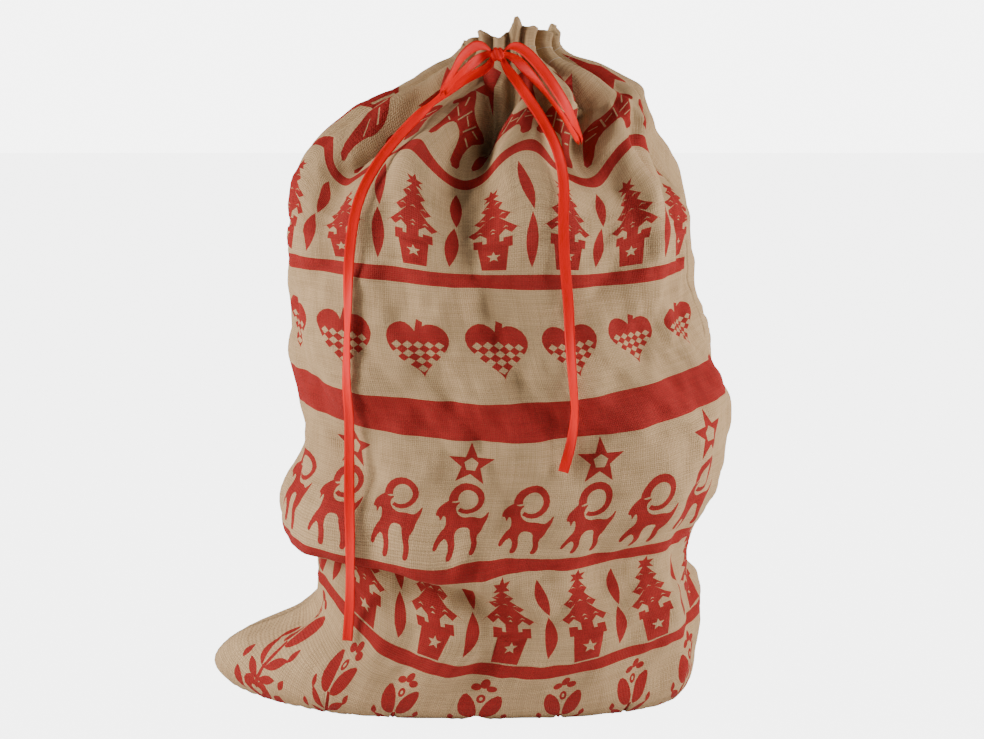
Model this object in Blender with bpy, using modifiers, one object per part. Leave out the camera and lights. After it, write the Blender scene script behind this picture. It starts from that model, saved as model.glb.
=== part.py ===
"""Drawstring gift sack of hessian: two sewn panels on a flat base, a gathered neck with a ribbon
channel, and a satin ribbon tied in a bow whose loops and tails lie on the front.

Metres, +Z up, the sack's front towards -Y. The origin is under the middle of the sack, on its base.
"""

import math

import bmesh
import bpy
import numpy as np

# Overall sizes of the filled sack.
BODY_WIDTH = 0.383
BODY_DEPTH = 0.235
NECK_HEIGHT = 0.582

# Neck and ruffle.
NECK_WIDTH = 0.104
NECK_DEPTH = 0.068
NECK_CENTRE = 0.043
RUFFLE_HEIGHT = 0.038
RUFFLE_FLARE = 0.006
PLEATS = 14
PLEAT_DEPTH = 0.004

# Cloth, seams and ribbon.
CLOTH = 0.0014
SEAM_THICKNESS = 0.002
SEAM_ALLOWANCE = 0.010
BASE_SEAM_OFFSET = 0.034
LEFT_SEAM_ANGLE = math.pi
RIBBON_WIDTH = 0.010
RIBBON_THICKNESS = 0.0008
THREAD_HEIGHT = 0.0015
KNOT_SIZE = (0.014, 0.009, 0.012)
KNOT_X = 0.029
GAP = 0.0003

# The base corner that pokes out on the left.
CORNER_SPREAD = math.radians(42)
CORNER_DIRECTION = math.radians(160)

# Grid of each panel, and the bands it is made in: name, first row and last row.
COLUMNS = 2 * PLEATS
BASE_ROWS = 4
PANEL_BANDS = (
    ("base", 0, BASE_ROWS + 2),
    ("lower", BASE_ROWS + 2, BASE_ROWS + 5),
    ("belly", BASE_ROWS + 5, BASE_ROWS + 8),
    ("upper", BASE_ROWS + 8, BASE_ROWS + 10),
    ("shoulder", BASE_ROWS + 10, BASE_ROWS + 14),
)

# Half of the slot that a seam and the cloth's turned edges take between the two panels.
SEAM_SLOT = SEAM_THICKNESS / 2 + 1.6 * CLOTH + GAP
# Layers inside the neck are this far apart, so that sloping pleat walls stay a gap apart.
PLEAT_SLOPE = math.cos(math.radians(52))
LAYER_STEP = (CLOTH / 2 + RIBBON_THICKNESS / 2 + GAP) / PLEAT_SLOPE

# Rows up the body: share of the neck height, centre in x as a share of the body width,
# fullness in width and in depth (0 at the neck, 1 at the belly), roundness exponent,
# share of the corner's reach and share of the pleats' depth.
SECTIONS = (
    (0.000, 0.026, 0.989, 0.540, 2.5, 0.86, 0.0),
    (0.024, 0.030, 1.043, 0.740, 2.4, 1.00, 0.0),
    (0.069, 0.046, 1.029, 0.880, 2.3, 0.86, 0.0),
    (0.148, 0.095, 0.914, 0.965, 2.2, 0.0, 0.0),
    (0.251, 0.070, 0.889, 0.970, 2.2, 0.0, 0.0),
    (0.338, 0.102, 0.989, 1.000, 2.2, 0.0, 0.0),
    (0.464, 0.123, 1.000, 1.000, 2.2, 0.0, 0.0),
    (0.576, 0.086, 0.982, 0.990, 2.2, 0.0, 0.0),
    (0.701, 0.056, 0.910, 0.946, 2.2, 0.0, 0.0),
    (0.812, 0.049, 0.884, 0.826, 2.2, 0.0, 0.0),
    (0.875, 0.047, 0.756, 0.683, 2.1, 0.0, 0.0),
    (0.923, 0.090, 0.605, 0.527, 2.0, 0.0, 0.1),
    (0.962, 0.125, 0.400, 0.323, 2.0, 0.0, 0.4),
    (0.988, 0.121, 0.165, 0.144, 2.0, 0.0, 0.8),
    (1.000, NECK_CENTRE / BODY_WIDTH, 0.0, 0.0, 2.0, 0.0, 1.0),
)

# Routes of the ribbon's loops and tails: points along the middle of the ribbon.
LEFT_TAIL_ROUTE = (
    (0.0215, -0.0525, 0.5780), (0.0090, -0.0545, 0.5725), (-0.0035, -0.0580, 0.5655),
    (-0.0150, -0.0630, 0.5570), (-0.0315, -0.0700, 0.5450), (-0.0540, -0.0820, 0.5230),
    (-0.0747, -0.0910, 0.4970), (-0.0882, -0.0960, 0.4700), (-0.0945, -0.0980, 0.4400),
    (-0.0972, -0.0995, 0.4100), (-0.0981, -0.1000, 0.3755), (-0.0995, -0.0995, 0.3384),
    (-0.0999, -0.0985, 0.3100), (-0.0985, -0.0975, 0.2850), (-0.0990, -0.0960, 0.2540),
    (-0.0990, -0.0965, 0.2176), (-0.0981, -0.0980, 0.1810), (-0.0990, -0.0975, 0.1438),
    (-0.1008, -0.0960, 0.1107), (-0.1035, -0.0960, 0.0784),
)
RIGHT_TAIL_ROUTE = (
    (0.0365, -0.0535, 0.5780), (0.0441, -0.0600, 0.5690), (0.0560, -0.0730, 0.5530),
    (0.0680, -0.0830, 0.5350), (0.0785, -0.0910, 0.5140), (0.0840, -0.0985, 0.4900),
    (0.0840, -0.1075, 0.4600), (0.0850, -0.1135, 0.4250), (0.0885, -0.1185, 0.3850),
    (0.0900, -0.1220, 0.3540), (0.0925, -0.1240, 0.3220), (0.0945, -0.1255, 0.2930),
    (0.0915, -0.1265, 0.2661), (0.0850, -0.1270, 0.2413),
)
LEFT_LOOP_ROUTE = (
    (0.0175, -0.0525, 0.5965), (0.0100, -0.0570, 0.5965), (-0.0010, -0.0630, 0.5880),
    (-0.0080, -0.0700, 0.5760), (-0.0150, -0.0770, 0.5640), (-0.0175, -0.0772, 0.5595),
    (-0.0160, -0.0735, 0.5595), (-0.0080, -0.0665, 0.5690), (0.0040, -0.0585, 0.5790),
    (0.0175, -0.0495, 0.5880),
)
RIGHT_LOOP_ROUTE = (
    (0.0415, -0.0530, 0.5965), (0.0500, -0.0580, 0.5940), (0.0657, -0.0700, 0.5790),
    (0.0810, -0.0820, 0.5580), (0.0915, -0.0905, 0.5400), (0.0975, -0.0965, 0.5240),
    (0.0990, -0.0955, 0.5195), (0.0975, -0.0915, 0.5190), (0.0910, -0.0860, 0.5290),
    (0.0800, -0.0780, 0.5450), (0.0665, -0.0670, 0.5620), (0.0530, -0.0560, 0.5770),
    (0.0415, -0.0495, 0.5870),
)
# Directions across the ribbon's width.
ACROSS_TAIL = (1.0, 0.0, 0.0)
ACROSS_LEFT_LOOP = (-0.60, 0.25, 0.75)
ACROSS_RIGHT_LOOP = (0.75, 0.15, 0.65)

HESSIAN = (0.46, 0.34, 0.22)
HESSIAN_INSIDE = (0.40, 0.29, 0.19)
SEAM_CLOTH = (0.38, 0.28, 0.18)
THREAD = (0.62, 0.50, 0.36)
SATIN = (0.78, 0.03, 0.02)


def material(name, colour, roughness):
    """A Principled material with one colour and roughness."""
    made = bpy.data.materials.new(name)
    made.use_nodes = True
    shader = made.node_tree.nodes["Principled BSDF"]
    shader.inputs["Base Color"].default_value = (*colour, 1.0)
    shader.inputs["Roughness"].default_value = roughness
    shader.inputs["Metallic"].default_value = 0.0
    return made


def lift(values, start, end):
    """Straight mix between two values, for numbers and arrays."""
    return start + (end - start) * values


def outline(section, angles):
    """Outer surface of one body row at the given angles about +Z, one (x, y, z) a row."""
    share, centre, full_width, full_depth, roundness, corner, pleat = section
    half_width = lift(full_width, NECK_WIDTH / 2, BODY_WIDTH / 2)
    half_depth = lift(full_depth, NECK_DEPTH / 2, BODY_DEPTH / 2)
    fold = PLEAT_DEPTH * pleat * np.cos(PLEATS * (angles - LEFT_SEAM_ANGLE))
    cos, sin = np.cos(angles), np.sin(angles)
    x = centre * BODY_WIDTH + (half_width + fold) * np.sign(cos) * np.abs(cos) ** (2 / roundness)
    y = (half_depth + fold) * np.sign(sin) * np.abs(sin) ** (2 / roundness)
    away = np.abs((angles - LEFT_SEAM_ANGLE + math.pi) % (2 * math.pi) - math.pi)
    poke = corner * corner_reach() * np.clip(1 - away / CORNER_SPREAD, 0, 1) ** 1.3
    x = x + poke * math.cos(CORNER_DIRECTION)
    y = y + poke * math.sin(CORNER_DIRECTION)
    return np.stack([x, y, np.full_like(x, share * NECK_HEIGHT)], axis=-1)


def corner_reach():
    """Length of the poking corner, which ends as far left of the origin as the belly ends right."""
    belly = max(s[1] * BODY_WIDTH + lift(s[2], NECK_WIDTH / 2, BODY_WIDTH / 2) for s in SECTIONS)
    foot = SECTIONS[1]
    left = foot[1] * BODY_WIDTH - lift(foot[2], NECK_WIDTH / 2, BODY_WIDTH / 2)
    return (belly + left) / -math.cos(CORNER_DIRECTION)


def panel_angles(side):
    """Angles from the left seam to the right one, round the front (side -1) or the back (+1)."""
    turn = np.linspace(0.0, math.pi, COLUMNS + 1)
    return LEFT_SEAM_ANGLE - side * turn


def base_seam_line():
    """The seam under the base: from the left corner to the right one, bowed towards the front."""
    share = (1 - np.cos(np.linspace(0.0, math.pi, COLUMNS + 1))) / 2
    ends = outline(SECTIONS[0], np.array([LEFT_SEAM_ANGLE, LEFT_SEAM_ANGLE - math.pi]))
    line = lift(share[:, None], ends[0], ends[1])
    line[:, 1] -= BASE_SEAM_OFFSET * np.sin(share * math.pi)
    return line


def panel_grid(side):
    """Outer surface of one panel: flat base rows from the seam outwards, then rows up to the neck."""
    angles = panel_angles(side)
    foot = outline(SECTIONS[0], angles)
    shares = np.linspace(0.0, 1.0, BASE_ROWS + 1)[:-1]
    rows = [lift(share, base_seam_line(), foot) for share in shares]
    rows += [outline(section, angles) for section in SECTIONS]
    grid = np.array(rows)
    grid[..., 1] += side * SEAM_SLOT
    return grid


def neck_grid(side, inset, heights):
    """A pleated half ring in the neck, inset from the outer cloth, one row a height above the neck."""
    angles = panel_angles(side)
    rows = []
    for height in heights:
        flare = RUFFLE_FLARE * (height / RUFFLE_HEIGHT) ** 2
        fold = PLEAT_DEPTH * np.cos(PLEATS * (angles - LEFT_SEAM_ANGLE))
        x = NECK_CENTRE + (NECK_WIDTH / 2 - inset + flare + fold) * np.cos(angles)
        y = (NECK_DEPTH / 2 - inset + flare + fold) * np.sin(angles) + side * SEAM_SLOT
        rows.append(np.stack([x, y, np.full_like(x, NECK_HEIGHT + height)], axis=-1))
    return np.array(rows)


def surface(name, grid, finish, thickness, offset):
    """An object from a grid of points, with Solidify for its wall."""
    rows, columns = grid.shape[:2]
    sheet = bmesh.new()
    points = [sheet.verts.new(point) for point in grid.reshape(-1, 3)]
    for row in range(rows - 1):
        for column in range(columns - 1):
            corner = row * columns + column
            sheet.faces.new([points[i] for i in (corner, corner + 1, corner + columns + 1, corner + columns)])
    bmesh.ops.remove_doubles(sheet, verts=sheet.verts, dist=1e-5)
    mesh = bpy.data.meshes.new(name)
    sheet.to_mesh(mesh)
    sheet.free()
    mesh.shade_smooth()
    mesh.materials.append(finish)
    made = bpy.data.objects.new(name, mesh)
    wall = made.modifiers.new("wall", "SOLIDIFY")
    wall.thickness = thickness
    wall.offset = offset
    wall.use_even_offset = True
    return made


def point_normals(grid, side):
    """Outward normals of a panel's grid, where points that coincide share one normal."""
    face = np.cross(grid[1:, 1:] - grid[:-1, :-1], grid[1:, :-1] - grid[:-1, 1:]) * -side
    first, last = slice(None, -1), slice(1, None)
    normals = np.zeros_like(grid)
    for rows, columns in ((first, first), (first, last), (last, last), (last, first)):
        normals[rows, columns] += face
    _, group = np.unique(np.round(grid.reshape(-1, 3), 6), axis=0, return_inverse=True)
    total = np.zeros((group.max() + 1, 3))
    np.add.at(total, group.reshape(-1), normals.reshape(-1, 3))
    shared = total[group.reshape(-1)]
    return (shared / np.linalg.norm(shared, axis=1)[:, None]).reshape(grid.shape)


def drawn_in(grid, low, high):
    """Rows low to high of a grid, whose cut ends stop half a gap short of the next band's."""
    band = grid[low : high + 1].copy()
    for end, after, cut in ((0, 1, low > 0), (-1, -2, high < len(grid) - 1)):
        if cut:
            away = band[after] - band[end]
            band[end] += away / np.linalg.norm(away, axis=1)[:, None] * GAP / 2
    return band


def panel_band(name, side, low, high, finish):
    """One band of a panel between two of its rows, a closed solid of the cloth's thickness."""
    grid = panel_grid(side)
    inner = grid - point_normals(grid, side) * CLOTH
    layers = [drawn_in(grid, low, high), drawn_in(inner, low, high)]
    rows, columns = layers[0].shape[:2]
    cloth = bmesh.new()
    outer, inner = ([[cloth.verts.new(point) for point in row] for row in layer] for layer in layers)
    cells = []
    for row in range(rows - 1):
        for column in range(columns - 1):
            ring = ((row, column), (row, column + 1), (row + 1, column + 1), (row + 1, column))
            cells.append([outer[r][c] for r, c in ring])
            cells.append([inner[r][c] for r, c in reversed(ring)])
    rim = [(0, c) for c in range(columns)] + [(r, columns - 1) for r in range(1, rows)]
    rim += [(rows - 1, c) for c in range(columns - 2, -1, -1)] + [(r, 0) for r in range(rows - 2, 0, -1)]
    for (r, c), (next_r, next_c) in zip(rim, rim[1:] + rim[:1]):
        cells.append([outer[next_r][next_c], outer[r][c], inner[r][c], inner[next_r][next_c]])
    for cell in cells:
        cloth.faces.new(cell)
    bmesh.ops.remove_doubles(cloth, verts=cloth.verts, dist=1e-5)
    bmesh.ops.recalc_face_normals(cloth, faces=cloth.faces)
    mesh = bpy.data.meshes.new(name)
    cloth.to_mesh(mesh)
    cloth.free()
    mesh.shade_smooth()
    mesh.materials.append(finish)
    return bpy.data.objects.new(name, mesh)


def side_seam(name, end, finish):
    """A side seam: the panels' turned edges, standing inwards from the outer surface."""
    angle = panel_angles(-1)[end]
    rows = []
    for section in SECTIONS:
        outer = outline(section, np.array([angle]))[0]
        outer[2] = max(outer[2], SEAM_THICKNESS / 4)
        centre = np.array([section[1] * BODY_WIDTH, 0.0, outer[2]])
        inwards = (centre - outer) / np.linalg.norm(centre - outer)
        rows.append([outer, outer + inwards * SEAM_ALLOWANCE])
    return surface(name, np.array(rows), finish, SEAM_THICKNESS, 0.0)


def bottom_seam(name, finish):
    """The seam under the base, standing up inside the sack between the two side seams."""
    line = base_seam_line()
    clear = SEAM_ALLOWANCE + 2 * GAP + SEAM_THICKNESS
    inside = (line[:, 0] > line[0, 0] + clear) & (line[:, 0] < line[-1, 0] - clear)
    line = line[inside]
    top = line + np.array([0.0, 0.0, SEAM_ALLOWANCE])
    return surface(name, np.array([line, top]), finish, SEAM_THICKNESS, 0.0)


def neck_layer(name, side, layer, low, high, thickness, finish):
    """A half ring in the neck: layer 0 is the outer cloth, 1 the ribbon channel, 2 the facing."""
    inset = CLOTH / 2 + layer * LAYER_STEP
    steps = 4 if high - low > RIBBON_WIDTH else 2
    grid = neck_grid(side, inset, np.linspace(low, high, steps))
    return surface(name, grid, finish, thickness, 0.0)


def knot(name, finish):
    """The bow's knot: a rounded block just in front of the neck."""
    mesh = bpy.data.meshes.new(name)
    block = bmesh.new()
    bmesh.ops.create_cube(block, size=1.0)
    bmesh.ops.scale(block, vec=KNOT_SIZE, verts=block.verts)
    block.to_mesh(mesh)
    block.free()
    mesh.shade_smooth()
    mesh.materials.append(finish)
    made = bpy.data.objects.new(name, mesh)
    made.location = knot_centre()
    rounding = made.modifiers.new("rounding", "BEVEL")
    rounding.width = 0.003
    rounding.segments = 2
    return made


def knot_centre():
    """Middle of the knot, a gap in front of the neck's foremost pleat."""
    front = NECK_DEPTH / 2 + PLEAT_DEPTH + SEAM_SLOT + RUFFLE_FLARE * 0.4
    return (KNOT_X, -(front + GAP + KNOT_SIZE[1] / 2), NECK_HEIGHT + channel_middle())


def channel_middle():
    """Height of the ribbon's middle above the neck line."""
    return 2 * GAP + THREAD_HEIGHT + RIBBON_WIDTH / 2


def smooth_route(points, spacing):
    """Evenly spaced points on a Catmull-Rom curve through the route's points."""
    points = np.array(points)
    padded = np.vstack([2 * points[0] - points[1], points, 2 * points[-1] - points[-2]])
    t = np.linspace(0.0, 1.0, 12, endpoint=False)[:, None]
    spans = []
    for i in range(1, len(padded) - 2):
        a, b, c, d = padded[i - 1 : i + 3]
        spans.append(
            0.5 * (2 * b + (c - a) * t + (2 * a - 5 * b + 4 * c - d) * t**2 + (3 * b - a - 3 * c + d) * t**3)
        )
    fine = np.vstack(spans + [points[-1:]])
    length = np.concatenate([[0.0], np.cumsum(np.linalg.norm(np.diff(fine, axis=0), axis=1))])
    even = np.linspace(0.0, length[-1], max(2, round(length[-1] / spacing)) + 1)
    return np.stack([np.interp(even, length, fine[:, axis]) for axis in range(3)], axis=-1)


def ribbon(name, route, across, spacing, finish):
    """A flat ribbon along a route, with its width as near to the given direction as the route lets it."""
    path = smooth_route(route, spacing)
    along = np.gradient(path, axis=0)
    along /= np.linalg.norm(along, axis=1)[:, None]
    width = np.array(across) - (along @ np.array(across))[:, None] * along
    width /= np.linalg.norm(width, axis=1)[:, None]
    half = width * RIBBON_WIDTH / 2
    grid = np.array([path - half, path + half])
    return surface(name, grid, finish, RIBBON_THICKNESS, 0.0)


def place(made, parts, pivot=None):
    """Links an object, hung from an empty on its joint axis where it moves."""
    parts.objects.link(made)
    if pivot is not None:
        made.parent = pivot
        made.matrix_parent_inverse = pivot.matrix_world.inverted()


def pivot_empty(name, location, parts):
    """An empty on a joint's axis."""
    made = bpy.data.objects.new(name, None)
    made.location = location
    parts.objects.link(made)
    bpy.context.view_layer.update()
    return made


def build():
    """Clears the scene and makes the sack."""
    for old in list(bpy.data.objects):
        bpy.data.objects.remove(old, do_unlink=True)
    parts = bpy.data.collections.new("gift_sack")
    bpy.context.scene.collection.children.link(parts)
    hessian = material("hessian", HESSIAN, 0.95)
    inside = material("hessian_inside", HESSIAN_INSIDE, 0.95)
    seam = material("seam_cloth", SEAM_CLOTH, 0.95)
    thread = material("thread", THREAD, 0.8)
    satin = material("satin", SATIN, 0.35)

    for label, side in (("front", -1), ("back", 1)):
        for band, low, high in PANEL_BANDS:
            place(panel_band(f"{label}_{band}", side, low, high, hessian), parts)
    place(side_seam("left_side_seam", 0, seam), parts)
    place(side_seam("right_side_seam", -1, seam), parts)
    place(bottom_seam("bottom_seam", seam), parts)

    lip = NECK_DEPTH / 2 + PLEAT_DEPTH + SEAM_SLOT + GAP
    ribbon_low = channel_middle() - RIBBON_WIDTH / 2
    ribbon_high = ribbon_low + RIBBON_WIDTH
    for label, side in (("front", -1), ("back", 1)):
        hinge = pivot_empty(f"{label}_mouth_axis", (NECK_CENTRE, side * lip, NECK_HEIGHT), parts)
        layers = (
            (f"{label}_hem", 0, GAP, RUFFLE_HEIGHT, CLOTH, hessian),
            (f"{label}_hem_facing", 2, GAP, RUFFLE_HEIGHT - GAP, CLOTH, inside),
            (f"{label}_drawstring", 1, ribbon_low, ribbon_high, RIBBON_THICKNESS, satin),
            (f"{label}_lower_stitching", 1, GAP, GAP + THREAD_HEIGHT, RIBBON_THICKNESS, thread),
            (f"{label}_upper_stitching", 1, ribbon_high + GAP, ribbon_high + GAP + THREAD_HEIGHT,
             RIBBON_THICKNESS, thread),
        )
        for name, layer, low, high, thickness, finish in layers:
            place(neck_layer(name, side, layer, low, high, thickness, finish), parts, hinge)

    place(knot("bow_knot", satin), parts)
    pieces = (
        ("left_loop", LEFT_LOOP_ROUTE, ACROSS_LEFT_LOOP, 0.004),
        ("right_loop", RIGHT_LOOP_ROUTE, ACROSS_RIGHT_LOOP, 0.004),
        ("left_tail", LEFT_TAIL_ROUTE, ACROSS_TAIL, 0.015),
        ("right_tail", RIGHT_TAIL_ROUTE, ACROSS_TAIL, 0.015),
    )
    for name, route, across, spacing in pieces:
        swing = pivot_empty(f"{name}_axis", knot_centre(), parts)
        place(ribbon(name, route, across, spacing, satin), parts, swing)


build()
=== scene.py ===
"""Looks of a drawstring gift sack: printed hessian gathered at the neck, with a red satin ribbon bow.

Lengths are metres in the frame's own axes: +Z up, the printed front towards -Y.
"""

from __future__ import annotations

import logging
import math
from dataclasses import dataclass, field
from enum import Enum

import bpy
import numpy as np
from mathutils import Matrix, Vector
from mathutils.geometry import delaunay_2d_cdt


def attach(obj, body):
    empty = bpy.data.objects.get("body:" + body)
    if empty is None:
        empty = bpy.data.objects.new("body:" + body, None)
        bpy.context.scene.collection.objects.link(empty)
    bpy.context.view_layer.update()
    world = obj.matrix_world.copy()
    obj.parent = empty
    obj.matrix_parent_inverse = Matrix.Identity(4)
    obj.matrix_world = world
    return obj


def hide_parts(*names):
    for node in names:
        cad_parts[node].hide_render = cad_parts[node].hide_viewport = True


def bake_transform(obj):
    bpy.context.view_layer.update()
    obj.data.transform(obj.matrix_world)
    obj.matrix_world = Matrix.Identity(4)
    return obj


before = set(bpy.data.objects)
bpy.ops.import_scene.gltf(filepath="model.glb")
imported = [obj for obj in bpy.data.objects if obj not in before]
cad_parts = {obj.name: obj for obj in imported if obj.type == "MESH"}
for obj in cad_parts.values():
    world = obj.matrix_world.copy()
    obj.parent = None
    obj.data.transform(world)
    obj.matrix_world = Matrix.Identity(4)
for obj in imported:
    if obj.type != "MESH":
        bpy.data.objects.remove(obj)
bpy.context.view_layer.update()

logging.basicConfig(level=logging.INFO, format="%(message)s")
log = logging.getLogger("gift_sack")

MILLI = 0.001

NECK_MIDDLE = 0.043


class Side(Enum):
    """The two halves of the sack, as the sign of their y."""

    FRONT = -1
    BACK = 1


# ---------------------------------------------------------------- numbers and curves


def smooth_step(values: np.ndarray, low: float, high: float) -> np.ndarray:
    """Rises from 0 at low to 1 at high as 3t^2 - 2t^3.

    Args:
        values: where to read the step.
        low: start of the rise.
        high: end of the rise.

    Returns:
        The step's height at each value.
    """
    t = np.clip((values - low) / (high - low), 0.0, 1.0)
    return t * t * (3.0 - 2.0 * t)


def bell(values: np.ndarray, middle: float, width: float) -> np.ndarray:
    """exp(-((values - middle) / width)^2)."""
    return np.exp(-(((values - middle) / width) ** 2))


def hermite(x: np.ndarray, knots: np.ndarray, values: np.ndarray) -> np.ndarray:
    """Cubic Hermite curve through (knots, values), whose slope at a knot is the mean of its two spans'.

    Args:
        x: where to read the curve, any shape.
        knots: rising knot positions, one axis.
        values: values at the knots: one axis, or (knots, points) where each point has its own.

    Returns:
        The curve at x.
    """
    steps = np.diff(knots)
    index = np.clip(np.searchsorted(knots, x, side="right") - 1, 0, len(knots) - 2)
    span = steps[index]
    t = np.clip((x - knots[index]) / span, 0.0, 1.0)
    shaped = steps.reshape((-1,) + (1,) * (values.ndim - 1))
    chords = np.diff(values, axis=0) / shaped
    slopes = np.concatenate([chords[:1], (chords[1:] + chords[:-1]) / 2, chords[-1:]])
    if values.ndim == 1:
        low, high, start, end = values[index], values[index + 1], slopes[index], slopes[index + 1]
    else:
        point = np.arange(values.shape[1])
        low, high = values[index, point], values[index + 1, point]
        start, end = slopes[index, point], slopes[index + 1, point]
    return (
        low * (1 + 2 * t) * (1 - t) ** 2
        + high * t**2 * (3 - 2 * t)
        + start * span * t * (1 - t) ** 2
        + end * span * t**2 * (t - 1)
    )


def unit(vectors: np.ndarray) -> np.ndarray:
    """Vectors scaled to length 1."""
    return vectors / np.maximum(np.linalg.norm(vectors, axis=-1, keepdims=True), 1e-12)


def distances(points: np.ndarray) -> np.ndarray:
    """Distance of each point from the first one, along the run."""
    return np.concatenate([[0.0], np.cumsum(np.linalg.norm(np.diff(points, axis=0), axis=1))])


def smooth_path(points: list | tuple | np.ndarray, count: int) -> np.ndarray:
    """Evenly spaced points on a Catmull-Rom curve through the given ones.

    Args:
        points: the route's own points.
        count: how many points to return.

    Returns:
        Array of count points.
    """
    points = np.asarray(points, float)
    knots = distances(points)
    fine = np.linspace(0.0, knots[-1], 40 * len(points))
    curve = np.stack([hermite(fine, knots, points[:, axis]) for axis in range(points.shape[1])], axis=-1)
    length = distances(curve)
    even = np.linspace(0.0, length[-1], count)
    return np.stack([np.interp(even, length, curve[:, axis]) for axis in range(points.shape[1])], axis=-1)


# ---------------------------------------------------------------- meshes


def grid_faces(rows: int, columns: int, closed: bool = False) -> np.ndarray:
    """Quads over a grid of points stored row by row.

    Args:
        rows: number of rows of points.
        columns: number of points in a row.
        closed: whether each row joins its last point to its first.

    Returns:
        (faces, 4) point numbers.
    """
    row, column = np.meshgrid(np.arange(rows - 1), np.arange(columns if closed else columns - 1), indexing="ij")
    after = (column + 1) % columns
    corners = (row * columns + column, row * columns + after, (row + 1) * columns + after, (row + 1) * columns + column)
    return np.stack([corner.ravel() for corner in corners], axis=-1)


def mesh_object(
    name: str,
    points: np.ndarray,
    faces: np.ndarray | list,
    finishes: list[bpy.types.Material],
    uv: np.ndarray | None = None,
    slots: np.ndarray | None = None,
) -> bpy.types.Object:
    """A smooth-shaded object from arrays.

    Args:
        name: name of the piece.
        points: (points, 3) positions.
        faces: point numbers of each face, in an array or a list.
        finishes: materials, in slot order.
        uv: (points, 2) flat cloth coordinates.
        slots: material slot of each face.

    Returns:
        The object, linked to the scene.
    """
    mesh = bpy.data.meshes.new(name)
    mesh.from_pydata(points.tolist(), [], faces if isinstance(faces, list) else faces.tolist())
    if uv is not None:
        layer = mesh.uv_layers.new(name="cloth")
        corner_points = np.zeros(len(mesh.loops), np.int32)
        mesh.loops.foreach_get("vertex_index", corner_points)
        layer.data.foreach_set("uv", uv[corner_points].astype(np.float32).ravel())
    if slots is not None:
        mesh.polygons.foreach_set("material_index", slots.astype(np.int32))
    for finish in finishes:
        mesh.materials.append(finish)
    mesh.shade_smooth()
    mesh.update()
    made = bpy.data.objects.new(name, mesh)
    bpy.context.scene.collection.objects.link(made)
    return made


def thicken(piece: bpy.types.Object, thickness: float, offset: float, inner_slot: int = 0) -> None:
    """Gives an open surface its wall.

    Args:
        piece: the object.
        thickness: wall thickness.
        offset: -1 keeps the surface as the outer face, 0 as the middle.
        inner_slot: how many material slots further on the inner face is.
    """
    wall = piece.modifiers.new("wall", "SOLIDIFY")
    wall.thickness = thickness
    wall.offset = offset
    wall.material_offset = inner_slot
    wall.material_offset_rim = inner_slot


def apply_modifiers(piece: bpy.types.Object) -> None:
    """Turns a piece's modifiers into its own mesh."""
    graph = bpy.context.evaluated_depsgraph_get()
    final = bpy.data.meshes.new_from_object(piece.evaluated_get(graph), depsgraph=graph)
    piece.modifiers.clear()
    old, piece.data = piece.data, final
    bpy.data.meshes.remove(old)


def strip(
    name: str, grid: np.ndarray, uv: np.ndarray, finish: bpy.types.Material, thickness: float
) -> bpy.types.Object:
    """A thin solid strip from a grid of points, half of its wall on each side.

    Args:
        name: name of the piece.
        grid: (rows, columns, 3) points.
        uv: (rows, columns, 2) flat coordinates.
        finish: its material.
        thickness: wall thickness.

    Returns:
        The object.
    """
    made = mesh_object(name, grid.reshape(-1, 3), grid_faces(*grid.shape[:2]), [finish], uv.reshape(-1, 2))
    thicken(made, thickness, 0.0)
    apply_modifiers(made)
    return made


def belongs(piece: bpy.types.Object, body: str, node: str) -> bpy.types.Object:
    """Says which body a piece rides on and which plain node it replaces."""
    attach(piece, body)
    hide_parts(node)
    return piece


def neck_blend(piece: bpy.types.Object) -> None:
    """Bakes a piece's placement into its mesh; the piece is not blended into the mouth."""
    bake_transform(piece)


# ---------------------------------------------------------------- shader expressions


class Signal:
    """A number that varies over a surface: wraps a socket, and Python's operators add Math nodes."""

    def __init__(self, graph: "Graph", socket: bpy.types.NodeSocket) -> None:
        """Keeps the graph and the socket."""
        self.graph = graph
        self.socket = socket

    def _math(self, operation: str, *values: "Signal | float") -> "Signal":
        """A Math node on these values."""
        return self.graph.math(operation, *values)

    def __add__(self, other: "Signal | float") -> "Signal":
        """self + other."""
        return self._math("ADD", self, other)

    __radd__ = __add__

    def __sub__(self, other: "Signal | float") -> "Signal":
        """self - other."""
        return self._math("SUBTRACT", self, other)

    def __rsub__(self, other: "Signal | float") -> "Signal":
        """other - self."""
        return self._math("SUBTRACT", other, self)

    def __mul__(self, other: "Signal | float") -> "Signal":
        """self * other."""
        return self._math("MULTIPLY", self, other)

    __rmul__ = __mul__

    def __pow__(self, other: "Signal | float") -> "Signal":
        """self ** other."""
        return self._math("POWER", self, other)

    def __abs__(self) -> "Signal":
        """abs(self)."""
        return self._math("ABSOLUTE", self)

    def over(self, low: float, high: float) -> "Signal":
        """Rises from 0 at low to 1 at high, smoothly."""
        node = self.graph.node(
            "ShaderNodeMapRange", {"interpolation_type": "SMOOTHSTEP"},
            {"Value": self, "From Min": low, "From Max": high, "To Min": 0.0, "To Max": 1.0},
        )
        return Signal(self.graph, node.outputs["Result"])


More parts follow.
